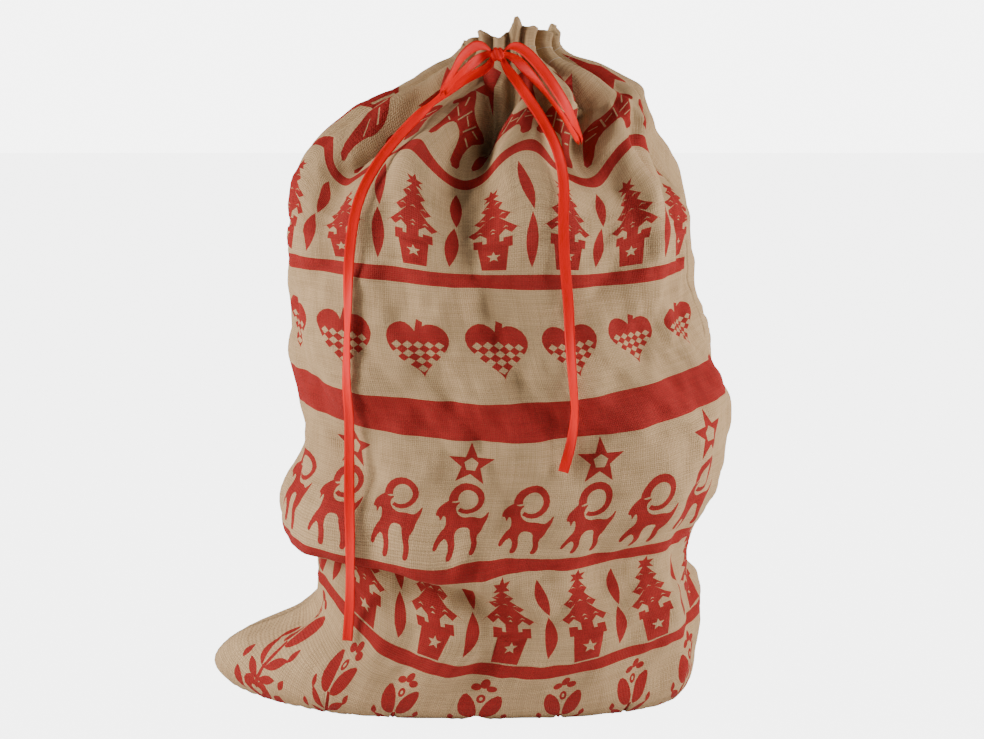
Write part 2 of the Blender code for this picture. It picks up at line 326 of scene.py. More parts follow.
class Graph:
    """The node tree of one material, with a Principled shader."""

    def __init__(self, name: str, **uniform: float | tuple) -> None:
        """Makes the material.

        Args:
            name: material name.
            **uniform: shader sockets that hold one value, with _ for a space.
        """
        self.material = bpy.data.materials.new(name)
        self.material.use_nodes = True
        self.tree = self.material.node_tree
        self.shader = self.tree.nodes["Principled BSDF"]
        for socket, value in uniform.items():
            self.shader.inputs[socket.replace("_", " ")].default_value = value

    def node(self, kind: str, settings: dict | None = None, sockets: dict | None = None) -> bpy.types.Node:
        """Adds one node.

        Args:
            kind: node type.
            settings: node properties, set first.
            sockets: values or links of its inputs, by name or number.

        Returns:
            The node.
        """
        made = self.tree.nodes.new(kind)
        for name, value in (settings or {}).items():
            setattr(made, name, value)
        for name, value in (sockets or {}).items():
            self.feed(made.inputs[name], value)
        return made

    def feed(self, socket: bpy.types.NodeSocket, value: object) -> None:
        """Links a signal or socket into an input, or sets its value."""
        if isinstance(value, Signal):
            value = value.socket
        if isinstance(value, bpy.types.NodeSocket):
            self.tree.links.new(value, socket)
        else:
            socket.default_value = value

    def math(self, operation: str, *values: Signal | float) -> Signal:
        """A Math node on signals and numbers."""
        made = self.node("ShaderNodeMath", {"operation": operation}, dict(enumerate(values)))
        return Signal(self, made.outputs[0])

    def mix(self, share: Signal | float, first: object, second: object) -> bpy.types.NodeSocket:
        """Mixes two colours.

        Args:
            share: 0 for the first, 1 for the second.
            first: a colour or socket.
            second: a colour or socket.

        Returns:
            The mixed colour's socket.
        """
        return self.node("ShaderNodeMix", {"data_type": "RGBA"}, {0: share, 6: first, 7: second}).outputs[2]

    def noise(self, place: object, scale: float, detail: float = 2.0, roughness: float = 0.5) -> Signal:
        """Noise texture's value at a place."""
        made = self.node(
            "ShaderNodeTexNoise", {}, {"Vector": place, "Scale": scale, "Detail": detail, "Roughness": roughness}
        )
        return Signal(self, made.outputs["Fac"])

    def place(self, along: Signal | float, across: Signal | float, up: Signal | float = 0.0) -> bpy.types.NodeSocket:
        """A vector from three numbers."""
        return self.node("ShaderNodeCombineXYZ", {}, {"X": along, "Y": across, "Z": up}).outputs[0]

    def cloth(self) -> tuple[Signal, Signal]:
        """The piece's flat cloth coordinates in metres, from its UV map."""
        source = self.node("ShaderNodeUVMap", {"uv_map": "cloth"})
        parts = self.node("ShaderNodeSeparateXYZ", {}, {"Vector": source.outputs[0]})
        return Signal(self, parts.outputs[0]), Signal(self, parts.outputs[1])

    def finish(self, colour: object, roughness: object, height: Signal, depth: float, strength: float) -> None:
        """Feeds the shader.

        Args:
            colour: base colour's socket.
            roughness: number or signal.
            height: relief from 0 to 1.
            depth: the relief's depth in metres.
            strength: share of the relief that shows.
        """
        bump = self.node("ShaderNodeBump", {}, {"Height": height, "Distance": depth, "Strength": strength})
        self.feed(self.shader.inputs["Base Color"], colour)
        self.feed(self.shader.inputs["Roughness"], roughness)
        self.feed(self.shader.inputs["Normal"], bump.outputs[0])


# ---------------------------------------------------------------- finishes


@dataclass(frozen=True)
class HessianFinish:
    """Plain-weave jute, bare or printed."""

    thread_pitch: float = 0.00165
    thread_drift: float = 0.0009
    # The colours from light to dark are the jute's own tone range. The dark end also serves as painted shade in the
    # hollows between threads, and so does the deeper ink.
    light: tuple[float, float, float] = (0.510, 0.334, 0.176)
    dark: tuple[float, float, float] = (0.190, 0.112, 0.052)
    ink: tuple[float, float, float] = (0.300, 0.003, 0.006)
    ink_deep_and_hollow_shade: tuple[float, float, float] = (0.120, 0.001, 0.002)
    bump_depth: float = 0.0010

    def weave(self, graph: Graph) -> tuple[Signal, Signal]:
        """Plain weave: each thread is a sine-shaped ridge that passes over and under the next.

        Args:
            graph: the material's nodes.

        Returns:
            Height from 0 to 1, and a slow yarn-by-yarn variation from 0 to 1.
        """
        along, across = graph.cloth()
        drift = (graph.noise(graph.place(along, across), 60.0, 1.0) - 0.5) * self.thread_drift
        ridge_warp = graph.math("SINE", (along + drift) * (math.pi / self.thread_pitch))
        ridge_weft = graph.math("SINE", (across + drift) * (math.pi / self.thread_pitch))
        over = (ridge_warp * ridge_weft).over(-0.25, 0.25)
        round_warp, round_weft = abs(ridge_warp), abs(ridge_weft)
        height = graph.math("MAXIMUM", round_warp * (0.45 + over * 0.55), round_weft * (1.0 - over * 0.55))
        yarn_up = graph.noise(graph.place(along * 560.0, across * 22.0), 1.0, 2.0)
        yarn_across = graph.noise(graph.place(along * 22.0, across * 560.0, 3.7), 1.0, 2.0)
        return height, yarn_up * over + yarn_across * (1.0 - over)

    def build(self, name: str, printed: bool = False, shade: float = 1.0) -> bpy.types.Material:
        """The finished material.

        Args:
            name: material name.
            printed: whether red ink covers the cloth.
            shade: multiplies the colours, as painted shade for cloth inside the sack, where less light falls.

        Returns:
            The material.
        """
        graph = Graph(name, Roughness=0.9, Specular_IOR_Level=0.12)
        height, yarn = self.weave(graph)
        along, across = graph.cloth()
        patch = graph.noise(graph.place(along, across), 14.0, 3.0)
        # Painted shade: both colours are scaled down for cloth inside the sack.
        dark, light = ((*(shade * part for part in tone), 1.0) for tone in (self.dark, self.light))
        # Painted shade: the low parts of the weave's relief take the dark colour, as if shaded between the threads. The
        # yarn and patch terms are the jute's own uneven tone.
        tone = (height ** 0.8) * 0.55 + yarn.over(0.30, 0.72) * 0.35 + patch * 0.14
        colour = graph.mix(tone, dark, light)
        roughness: Signal | float = 0.9
        if printed:
            fleck = graph.noise(graph.place(along, across, 1.3), 900.0, 2.0)
            cover = (height * 0.75 + fleck * 0.55 + yarn * 0.25).over(0.24, 0.56)
            # Painted shade on the ink too: in the hollows between threads and on darker yarns it takes the deeper red.
            red = graph.mix(tone, (*self.ink_deep_and_hollow_shade, 1.0), (*self.ink, 1.0))
            colour = graph.mix(cover * 0.96, colour, red)
            roughness = 0.92 - cover * 0.2
        graph.finish(colour, roughness, height * 0.8 + yarn * 0.2, self.bump_depth, 0.6 if printed else 0.75)
        return graph.material


@dataclass(frozen=True)
class SatinFinish:
    """Warp-faced satin ribbon with woven selvedges."""

    bright: tuple[float, float, float] = (0.74, 0.005, 0.002)
    deep: tuple[float, float, float] = (0.48, 0.003, 0.001)
    rib_pitch: float = 0.0004

    def build(self, name: str, width: float) -> bpy.types.Material:
        """The finished material.

        Args:
            name: material name.
            width: the ribbon's width, from which the selvedges are set.

        Returns:
            The material.
        """
        graph = Graph(name, Specular_IOR_Level=0.16)
        along, across = graph.cloth()
        streak = graph.noise(graph.place(along * 60.0, across * 4200.0), 1.0, 2.0)
        rib = graph.math("SINE", along * (2 * math.pi / self.rib_pitch)) * 0.5 + 0.5
        edge = abs(across - width / 2).over(width * 0.42, width * 0.49)
        tone = streak.over(0.25, 0.75) * 0.7 + graph.noise(graph.place(along, across), 40.0) * 0.3
        colour = graph.mix(tone * (1.0 - edge * 0.6), (*self.deep, 1.0), (*self.bright, 1.0))
        rough = 0.42 + streak * 0.14 + edge * 0.2
        graph.finish(colour, rough, rib * 0.35 + streak * 0.4 + edge * 0.6, 0.0001, 0.5)
        return graph.material


@dataclass(frozen=True)
class ThreadFinish:
    """Twisted sewing thread."""

    colour: tuple[float, float, float] = (0.56, 0.44, 0.30)

    def build(self, name: str) -> bpy.types.Material:
        """The finished material."""
        graph = Graph(name, Roughness=0.8, Sheen_Weight=0.2)
        fibre = graph.noise(graph.node("ShaderNodeTexCoord").outputs["Object"], 2500.0, 3.0)
        dark = tuple(0.6 * part for part in self.colour)
        colour = graph.mix(fibre, (*dark, 1.0), (*self.colour, 1.0))
        graph.finish(colour, 0.7 + fibre * 0.2, fibre, 0.0002, 0.6)
        return graph.material


# ---------------------------------------------------------------- the cloth's shape


@dataclass(frozen=True)
class Flat:
    """Flat size of one half of the cloth, and where its features lie along its length."""

    width: float = 0.500
    length: float = 0.750
    neck: float = 0.690
    rim: float = 0.728


@dataclass(frozen=True)
class Bellows:
    """One layer of gathers that fan out from the neck: |sin|^p, from soft waves to broad ridges with sharp valleys.

    The valleys of every layer meet the side seams and the deep folds of the first layer.
    """

    folds: tuple[int, ...]
    start: float
    full: float
    depth: float
    at_neck: float

    def height(self, seams: tuple[float, ...], across: np.ndarray, up: np.ndarray, seed: float) -> np.ndarray:
        """How far the cloth is pushed in, from 0 on the ridges.

        Args:
            seams: shares of the width where the deep valleys are.
            across: share of the width, 0 to 1.
            up: height of each point before folding.
            seed: shifts the pattern's irregularity.

        Returns:
            Depth in metres, positive inwards.
        """
        phase = hermite(across, np.array(seams), np.array(self.folds, float))
        uneven = 0.10 * np.sin(2 * np.pi * (across * 2.3 + seed)) * np.sin(np.pi * phase) ** 2
        sharpness = 1.9 - 1.2 * smooth_step(up, 0.47, 0.570)
        ridge = np.abs(np.sin(np.pi * (phase + uneven))) ** sharpness
        ragged = 0.012 * np.sin(5.1 * phase + 9.0 * seed) + 0.006 * np.sin(11.3 * phase + 4.0 * seed)
        grow = smooth_step(up - ragged, self.start, self.full)
        depth = self.depth + (self.at_neck - self.depth) * smooth_step(up, 0.560, 0.584)
        return depth * grow * (1.0 - ridge)


@dataclass
class SackForm:
    """Shape of the filled sack as a function of the cloth's flat coordinates.

    A point of the cloth is (across, along): the share of the half's width from the left seam to the right
    one, and the distance in metres from the bottom seam. Rows of rounded-rectangle sections give the body,
    and folds are then pushed in along the surface's own normals.
    """

    body_width: float = 0.383
    body_depth: float = 0.235
    neck_height: float = 0.582
    neck_width: float = 0.104
    neck_depth: float = 0.068
    neck_centre: float = NECK_MIDDLE
    slot: float = 0.0035
    base_bow: float = 0.034
    corner_spread: float = math.radians(42)
    corner_direction: float = math.radians(160)
    flat: Flat = field(default_factory=Flat)
    columns: int = 301
    rows: int = 441

    # Share of the neck height, centre in x as a share of the body width, fullness in width and depth
    # (0 at the neck, 1 at the belly), roundness exponent, share of the corner's reach.
    sections = np.array([
        (0.000, 0.026, 0.989, 0.540, 2.5, 0.86), (0.024, 0.030, 1.043, 0.740, 2.4, 1.00),
        (0.069, 0.046, 1.029, 0.880, 2.3, 0.86), (0.148, 0.095, 0.914, 0.965, 2.2, 0.0),
        (0.251, 0.070, 0.889, 0.970, 2.2, 0.0), (0.338, 0.102, 0.989, 1.000, 2.2, 0.0),
        (0.464, 0.123, 1.000, 1.000, 2.2, 0.0), (0.576, 0.086, 0.982, 0.990, 2.2, 0.0),
        (0.701, 0.056, 0.910, 0.946, 2.2, 0.0), (0.812, 0.049, 0.884, 0.826, 2.2, 0.0),
        (0.875, 0.047, 0.756, 0.683, 2.1, 0.0), (0.923, 0.090, 0.605, 0.527, 2.0, 0.0),
        (0.962, 0.125, 0.400, 0.323, 2.0, 0.0), (0.988, 0.121, 0.165, 0.144, 2.0, 0.0),
        (1.000, 0.112, 0.000, 0.000, 2.0, 0.0), (1.080, 0.112, 0.000, 0.000, 2.0, 0.0),
    ])

    gathers = {
        Side.FRONT: (
            (0.0, 0.19, 0.46, 0.73, 1.0),
            (
                Bellows((0, 1, 2, 3, 4), 0.400, 0.552, 0.031, 0.003),
                Bellows((0, 2, 4, 6, 8), 0.505, 0.570, 0.011, 0.011),
                Bellows((0, 4, 9, 13, 17), 0.548, 0.580, 0.003, 0.001),
            ),
            0.0,
        ),
        Side.BACK: (
            (0.0, 0.27, 0.52, 0.78, 1.0),
            (
                Bellows((0, 1, 2, 3, 4), 0.430, 0.556, 0.024, 0.003),
                Bellows((0, 2, 4, 6, 8), 0.515, 0.570, 0.010, 0.011),
                Bellows((0, 4, 8, 12, 16), 0.548, 0.580, 0.003, 0.001),
            ),
            0.37,
        ),
    }

    def __post_init__(self) -> None:
        """Tables of the finished surface of both halves."""
        self.shift: dict[Side, np.ndarray | None] = {Side.FRONT: None, Side.BACK: None}
        self.tables: dict[Side, np.ndarray] = {}
        self.refresh()

    def refresh(self) -> None:
        """Builds the tables again."""
        across, along = np.meshgrid(
            np.linspace(0, 1, self.columns), np.linspace(0, self.flat.rim, self.rows), indexing="ij"
        )
        self.tables = {side: self.folded(side, across, along) for side in Side}
        reach = 0.030 / self.flat.width
        for seam, near in ((0, 1 - smooth_step(across[:, 0], 0, reach)), (-1, smooth_step(across[:, 0], 1 - reach, 1))):
            middle = (self.tables[Side.FRONT][seam] + self.tables[Side.BACK][seam]) / 2
            for table in self.tables.values():
                table += near[:, None, None] * (middle - table[seam])[None]

    def turn(self, side: Side, across: np.ndarray, up: np.ndarray) -> np.ndarray:
        """Angle from the left seam, past pi where the back cloth comes round to the front.

        Args:
            side: the half.
            across: share of the half's width.
            up: height, since the right seam wanders with it.

        Returns:
            Angles that cut off that share of the belly's outline.
        """
        angle = np.linspace(0, 1.25 * np.pi, 901)
        x, y = self.rounded(angle, self.body_width / 2, self.body_depth / 2, 2.2)
        length = np.concatenate([[0.0], np.cumsum(np.hypot(np.diff(x), np.diff(y)))])
        length /= np.interp(np.pi, angle, length)
        wander = 0.085 * bell(up, 0.365, 0.075) + 0.03 * bell(up, 0.52, 0.05)
        shift = side.value * wander * np.clip(2 * across - 1, 0, 1) ** 1.3
        return np.interp(across + shift, length, angle)

    @staticmethod
    def rounded(angle: np.ndarray, half_width: object, half_depth: object, roundness: object) -> tuple:
        """Superellipse from the left end round to the right end and on."""
        cos, sin = np.cos(angle), np.sin(angle)
        x = -half_width * np.sign(cos) * np.abs(cos) ** (2 / roundness)
        return x, half_depth * np.sign(sin) * np.abs(sin) ** (2 / roundness)

    def corner_reach(self) -> float:
        """Length of the poking corner, which ends as far left of the middle as the belly ends right."""
        half = self.neck_width / 2 + (self.body_width - self.neck_width) / 2 * self.sections[:, 2]
        belly = (self.sections[:, 1] * self.body_width + half)[:-1].max()
        left = self.sections[1, 1] * self.body_width - half[1]
        return float((belly + left) / -math.cos(self.corner_direction))

    def outline(self, side: Side, across: np.ndarray, up: np.ndarray) -> np.ndarray:
        """Unfolded surface at a share of the width and a height."""
        share = np.clip(up / self.neck_height, 0.0, 1.08)
        centre, wide, deep, roundness, corner = (
            hermite(share, self.sections[:, 0], column) for column in self.sections.T[1:]
        )
        half_width = self.neck_width / 2 + (self.body_width - self.neck_width) / 2 * wide
        half_depth = self.neck_depth / 2 + (self.body_depth - self.neck_depth) / 2 * deep
        flare = 0.002 * np.clip((up - self.neck_height) / 0.038, 0, 1.4) ** 1.5
        angle = self.turn(side, across, up)
        x, y = self.rounded(angle, half_width + flare, half_depth + flare + self.slot, roundness)
        poke = corner * self.corner_reach() * np.clip(1 - angle / self.corner_spread, 0, 1) ** 1.3
        x = x + centre * self.body_width + poke * math.cos(self.corner_direction)
        y = side.value * y + poke * math.sin(self.corner_direction)
        return np.stack([x, y, np.broadcast_to(up, x.shape)], axis=-1)

    def edge(self, across: np.ndarray) -> np.ndarray:
        """Distance from the bottom seam to where the cloth leaves the floor."""
        return hermite(across, np.array([0, 0.12, 0.3, 0.5, 0.75, 1.0]),
                       np.array([0.004, 0.026, 0.050, 0.058, 0.052, 0.035]))

    def heights(self, side: Side, across: np.ndarray) -> tuple[np.ndarray, np.ndarray]:
        """Known heights of marks along the cloth.

        Args:
            side: the half.
            across: shares of the width.

        Returns:
            Distances along the cloth, and heights, each (marks, points).
        """
        one = np.ones_like(across)
        seams = self.gathers[side][0]
        wide = hermite(across, np.array([0, 0.25, 0.45, 0.65, 0.85, 1.0]),
                       np.array([0.302, 0.288, 0.284, 0.289, 0.302, 0.314]))
        thin = hermite(across, np.array([0, 0.25, 0.5, 0.75, 1.0]), np.array([0.411, 0.411, 0.405, 0.404, 0.408]))
        ridge = np.sin(np.pi * hermite(across, np.array(seams), np.arange(5.0))) ** 2 - 0.5
        pleat = np.abs(np.sin(np.pi * hermite(across, np.array(seams), np.array([0.0, 2.0, 4.0, 6.0, 8.0])))) ** 0.8
        low = hermite(across, np.array([0, 0.12, 0.3, 0.5, 0.75, 1.0]),
                      np.array([0.128, 0.117, 0.072, 0.057, 0.068, 0.090]))
        second = hermite(across, np.array([0, 0.3, 0.6, 0.8, 1.0]), np.array([0.182, 0.172, 0.158, 0.160, 0.170]))
        rim = hermite(across, np.array([0, 0.05, 0.14, 0.26, 0.39, 0.48, 0.527, 0.58, 0.66, 0.80, 0.93, 1]),
                      np.array([0.592, 0.593, 0.600, 0.609, 0.602, 0.612, 0.621, 0.615, 0.613, 0.607, 0.603, 0.601]))
        rim = rim - 0.005 * (1 - pleat)
        if side is Side.BACK:
            rim = 0.594 + 0.012 * smooth_step(across, 0.3, 0.9) + 0.003 * np.sin(31.0 * across)
        along = [self.edge(across), 0.111 * one, 0.213 * one, 0.338 * one, 0.461 * one, 0.563 * one,
                 self.flat.neck * one, self.flat.rim * one]
        up = [0 * one, low, second, wide, thin, 0.503 + 0.029 * ridge,
              self.neck_height * one, rim]
        return np.array(along), np.array(up)

    def smooth(self, side: Side, across: np.ndarray, along: np.ndarray) -> np.ndarray:
        """The unfolded surface on a grid: flat under the base, then up the body.

        Args:
            side: the half.
            across: (columns, rows) shares of the width.
            along: (columns, rows) distances from the bottom seam.

        Returns:
            (columns, rows, 3) points.
        """
        marks, heights = self.heights(side, across[:, 0])
        up = np.empty_like(along)
        for column in range(len(along)):
            up[column] = hermite(np.maximum(along[column], marks[0, column]), marks[:, column], heights[:, column])
        points = self.outline(side, across, up)
        foot = self.outline(side, across, np.zeros_like(up))
        line = self.outline(side, np.array([0.0, 1.0]), np.zeros(2))
        share = (1 - np.cos(np.pi * across)) / 2
        seam = line[0] + (line[1] - line[0]) * share[..., None]
        seam[..., 1] -= self.base_bow * np.sin(np.pi * share)
        inward = np.clip(along / marks[0][:, None], 0, 1)[..., None]
        return np.where(inward < 1, seam + (foot - seam) * inward, points)

    def folded(self, side: Side, across: np.ndarray, along: np.ndarray) -> np.ndarray:
        """The finished surface on a grid, from the unfolded one and every fold."""
        points = self.smooth(side, across, along)
        normal = unit(np.cross(np.gradient(points, axis=0), np.gradient(points, axis=1))) * -side.value
        normal = np.where(np.linalg.norm(normal, axis=-1, keepdims=True) > 0.5, normal, [0, side.value, 0])
        x, up = points[..., 0], points[..., 2]
        seams, layers, seed = self.gathers[side]
        neck = smooth_step(up, 0.545, self.neck_height)
        away = 0.004 * neck
        for layer in layers:
            away = away - layer.height(seams, across, up, seed)
        away = away + self.sway(across, along, seed) * smooth_step(up, 0.0, 0.06) * (1 - 0.8 * neck)
        away = away + self.shoulder_creases(side, across, up)
        if side is Side.FRONT:
            away = away - self.throats(x, up)
        away = away - 0.0022 * np.exp(-((np.minimum(across, 1 - across) * self.flat.width / 0.007) ** 2))
        fold_away, fold_down = self.overhang(side, x, up)
        points = points + normal * (away + fold_away)[..., None]
        points[..., 2] -= fold_down
        if self.shift[side] is not None:
            points = points + self.shift[side]
        points[..., 2] = np.maximum(points[..., 2], 0.0)
        return points

    def sway(self, across: np.ndarray, along: np.ndarray, seed: float) -> np.ndarray:
        """Slow swelling over the contents, and shallow wrinkles, as sums of slanted waves."""
        s, v = across * self.flat.width, along
        waves = (
            (0.0026, 9.0, 3.0, 0.3), (0.0022, 5.0, -7.0, 1.9), (0.0016, 14.0, 6.0, 4.0), (0.0013, -11.0, 12.0, 2.2),
            (0.0008, 24.0, 9.0, 5.1), (0.0007, -19.0, 21.0, 0.8), (0.0005, 37.0, -14.0, 3.3), (0.0004, 11.0, 41.0, 1.1),
            (0.0003, 52.0, 23.0, 2.7), (0.0003, -45.0, 36.0, 5.6),
        )
        bend = 0.012 * np.sin(2 * np.pi * (3.1 * v + seed)) + 0.010 * np.sin(2 * np.pi * (4.3 * s - seed))
        total = np.zeros_like(s)
        for size, p, q, start in waves:
            total = total + size * np.sin(2 * np.pi * (p * (s + bend) + q * v) + start + 7.0 * seed)
        return total

    def shoulder_creases(self, side: Side, across: np.ndarray, up: np.ndarray) -> np.ndarray:
        """Long creases that fall from the neck towards the right-hand side."""
        lean, fall = (1.35, 1.3) if side is Side.FRONT else (1.1, 0.8)
        slant = (1 - across) * lean + (self.neck_height - up) * fall
        wave = np.abs(np.sin(np.pi * (slant * 6.5 + 0.2))) ** 0.8 - 0.5
        region = smooth_step(across, 0.70, 0.92) * smooth_step(up, 0.36, 0.46) * (1 - smooth_step(up, 0.545, 0.575))
        return 0.009 * wave * region

    def throats(self, x: np.ndarray, up: np.ndarray) -> np.ndarray:
        """Deep folds under the bow: bells across x about a slanted line, each fading in and out with height."""
        total = np.zeros_like(x)
        for foot, head, depth, wide in (((0.0180, 0.485), (0.0215, 0.580), 0.030, 0.0085),
                                        ((0.0960, 0.490), (0.0560, 0.578), 0.016, 0.0070)):
            share = (up - foot[1]) / (head[1] - foot[1])
            middle = foot[0] + (head[0] - foot[0]) * share
            fade = smooth_step(share, 0.0, 0.45) * (1 - smooth_step(share, 0.80, 1.0))
            total = total + depth * fade * bell(x, middle, wide * (0.7 + 0.3 * np.clip(share, 0, 1)))
        return total

    def overhang(self, side: Side, x: np.ndarray, up: np.ndarray) -> tuple[np.ndarray, np.ndarray]:
        """The fold over the left foot: cloth above it bulges out and down, cloth below is drawn in.

        Args:
            side: the half.
            x: x of each point.
            up: height of each point.

        Returns:
            How far the point moves outwards, and how far down.
        """
        marks = np.array([-0.30, -0.19, -0.151, -0.0585, 0.0045, 0.0585, 0.12, 0.30])
        crease = hermite(x, marks, np.array([0.172, 0.168, 0.165, 0.1605, 0.145, 0.118, 0.085, 0.080]))
        strength = 1 - smooth_step(x, -0.03, 0.085)
        if side is Side.BACK:
            strength = strength * (1 - smooth_step(x, -0.16, -0.04))
        above = (up - crease) / 0.020
        out = 0.019 * bell(above, 1.1, 1.3) - 0.018 * bell(above, -0.8, 1.0)
        down = 0.020 * bell(above, 0.5, 0.9)
        return strength * out, strength * down

    def foremost(self, points: np.ndarray, reach: float = 0.006) -> np.ndarray:
        """How far forward the front cloth comes, as its lowest y within reach in x and z of each point."""
        table = self.tables[Side.FRONT][::2, ::2].reshape(-1, 3)
        near = (np.abs(table[None, :, 0] - points[:, None, 0]) < reach) & (
            np.abs(table[None, :, 2] - points[:, None, 2]) < reach)
        return np.where(near, table[None, :, 1], np.inf).min(axis=1)

    def at(self, side: Side, across: np.ndarray, along: np.ndarray) -> np.ndarray:
        """Reads the finished surface between the table's points.

        Args:
            side: the half.
            across: shares of the width.
            along: distances from the bottom seam.

        Returns:
            (points, 3) positions.
        """
        table = self.tables[side]
        column = np.clip(across, 0, 1) * (self.columns - 1)
        row = np.clip(along / self.flat.rim, 0, 1) * (self.rows - 1)
        i = np.clip(column.astype(int), 0, self.columns - 2)
        j = np.clip(row.astype(int), 0, self.rows - 2)
        s, t = (column - i)[..., None], (row - j)[..., None]
        low = table[i, j] * (1 - s) + table[i + 1, j] * s
        high = table[i, j + 1] * (1 - s) + table[i + 1, j + 1] * s
        return low * (1 - t) + high * t

    def wall(self, side: Side, across: np.ndarray, along: float) -> tuple[np.ndarray, np.ndarray]:
        """Points of the surface at one distance along the cloth, and its outward normals."""
        along = np.full_like(across, along)
        step = 0.0012
        aside = step / self.flat.width
        du = self.at(side, across + aside, along) - self.at(side, across - aside, along)
        dv = self.at(side, across, along + step) - self.at(side, across, along - step)
        return self.at(side, across, along), unit(np.cross(du, dv)) * -side.value


@dataclass
class ClothSettling:
    """Lets the cloth wrinkle: a coarse tube of both halves, cut a little large, settles over its filling."""

    form: SackForm
    columns: int = 60
    rows: int = 84
    slack: float = 1.035
    frames: int = 22
    limit: float = 0.008
    pressure: float = 1.6

    fabric = {
        "quality": 6, "mass": 0.25, "tension_stiffness": 25.0, "compression_stiffness": 20.0,
        "shear_stiffness": 8.0, "bending_stiffness": 0.35, "air_damping": 4.0,
    }

    def tube(self) -> tuple[np.ndarray, np.ndarray, np.ndarray]:
        """The tube's points, ring by ring, and the shares and distances of its rows and columns."""
        across = np.linspace(0, 1, self.columns + 1)
        along = np.linspace(0.004, self.form.flat.neck, self.rows)
        rings = []
        for v in along:
            front = self.form.at(Side.FRONT, across, np.full_like(across, v))
            back = self.form.at(Side.BACK, across[-2:0:-1], np.full(self.columns - 1, v))
            rings.append(np.concatenate([front, back]))
        return np.array(rings), across, along

    def run(self) -> None:
        """Simulates the tube and passes the movement to the form."""
        rings, across, along = self.tube()
        count = rings.shape[1]
        start = rings.reshape(-1, 3)
        up = start[:, 2]
        grip = np.maximum(smooth_step(up, 0.530, 0.570), 1 - smooth_step(up, 0.004, 0.030))
        moved = self.simulate(start, grid_faces(self.rows, count, True), grip) - start
        far = np.linalg.norm(moved, axis=1)
        log.info("settling: mean %.1f mm, most %.1f mm", far.mean() / MILLI, far.max() / MILLI)
        moved = moved / (1 + far[:, None] / self.limit)
        free = smooth_step(up, 0.004, 0.040) * (1 - smooth_step(up, 0.520, 0.565))
        moved = (moved * free[:, None]).reshape(self.rows, count, 3)
        halves = {
            Side.FRONT: moved[:, : self.columns + 1],
            Side.BACK: np.concatenate([moved[:, :1], moved[:, : self.columns - 1 : -1]], axis=1),
        }
        for side, coarse in halves.items():
            self.form.shift[side] = self.spread(coarse, across, along)
        self.form.refresh()

    def simulate(self, start: np.ndarray, faces: np.ndarray, grip: np.ndarray) -> np.ndarray:
        """Runs the cloth and removes it again.

        Args:
            start: (points, 3) positions.
            faces: the tube's quads.
            grip: how firmly each point is held, from 0 to 1.

        Returns:
            (points, 3) settled positions.
        """
        tube = mesh_object("settling_tube", start, faces, [])
        held = tube.vertex_groups.new(name="held")
        for number in np.nonzero(grip > 0.001)[0].tolist():
            held.add([number], float(grip[number]), "REPLACE")
        tube.shape_key_add(name="Basis")
        rest = tube.shape_key_add(name="rest")
        middle = start.mean(axis=0)
        rest.data.foreach_set("co", ((start - middle) * self.slack + middle).astype(np.float32).ravel())
        cloth = tube.modifiers.new("settling", "CLOTH")
        for name, value in self.fabric.items():
            setattr(cloth.settings, name, value)
        cloth.settings.vertex_group_mass = "held"
        cloth.settings.rest_shape_key = rest
        cloth.settings.use_pressure = True
        cloth.settings.uniform_pressure_force = self.pressure
        cloth.collision_settings.use_collision = False
        cloth.point_cache.frame_start = 1
        cloth.point_cache.frame_end = self.frames
        scene = bpy.context.scene
        for frame_number in range(1, self.frames + 1):
            scene.frame_set(frame_number)
        settled = tube.evaluated_get(bpy.context.evaluated_depsgraph_get()).to_mesh()
        end = np.zeros(len(settled.vertices) * 3)
        settled.vertices.foreach_get("co", end)
        bpy.data.objects.remove(tube, do_unlink=True)
        scene.frame_set(1)
        return end.reshape(-1, 3)

    def spread(self, coarse: np.ndarray, across: np.ndarray, along: np.ndarray) -> np.ndarray:
        """Smooth interpolation of the movement onto the form's tables, (columns, rows, 3)."""
        fine_across = np.linspace(0, 1, self.form.columns)
        fine_along = np.clip(np.linspace(0, self.form.flat.rim, self.form.rows), along[0], along[-1])
        result = np.zeros((self.form.columns, self.form.rows, 3))
        for axis in range(3):
            tall = np.array([hermite(fine_along, along, coarse[:, k, axis]) for k in range(coarse.shape[1])])
            result[..., axis] = np.array([hermite(fine_across, across, tall[:, k]) for k in range(tall.shape[1])]).T
        return result


# ---------------------------------------------------------------- the printed pattern


@dataclass(frozen=True)
class Motif:
    """One printed figure: ink inside any of its solid outlines, except inside a hole."""

    solid: tuple[np.ndarray, ...]
    holes: tuple[np.ndarray, ...] = ()

    def placed(self, x: float, y: float, scale: float = 1.0, turn: float = 0.0, mirror: bool = False) -> "Motif":
        """The motif moved to a place on the cloth, turned about its own middle."""
        cos, sin = math.cos(turn) * scale, math.sin(turn) * scale
        grid = np.array([[cos, sin], [-sin, cos]])
        flip = np.array([[-1.0 if mirror else 1.0], [1.0]])
        return self.mapped(flip * grid, np.array([x, y]))

    def stretched(self, across: float, up: float) -> "Motif":
        """The motif scaled by one factor across and another up."""
        return self.mapped(np.diag([across, up]), np.zeros(2))

    def mapped(self, grid: np.ndarray, move: np.ndarray) -> "Motif":
        """Every outline multiplied by a 2 x 2 grid and moved."""
        return Motif(*(tuple(outline @ grid + move for outline in group) for group in (self.solid, self.holes)))


def loop(*points: tuple[float, float]) -> np.ndarray:
    """A closed outline from points in millimetres."""
    return np.array(points, float) * MILLI


def mirrored(outline: np.ndarray) -> np.ndarray:
    """The outline on the other side of x = 0."""
    return outline * np.array([-1.0, 1.0])


def rounded_loop(outline: np.ndarray, times: int = 2) -> np.ndarray:
    """The outline with its corners cut off, a quarter of each side at a time."""
    for _ in range(times):
        after = np.roll(outline, -1, axis=0)
        outline = np.stack([0.75 * outline + 0.25 * after, 0.25 * outline + 0.75 * after], axis=1).reshape(-1, 2)
    return outline


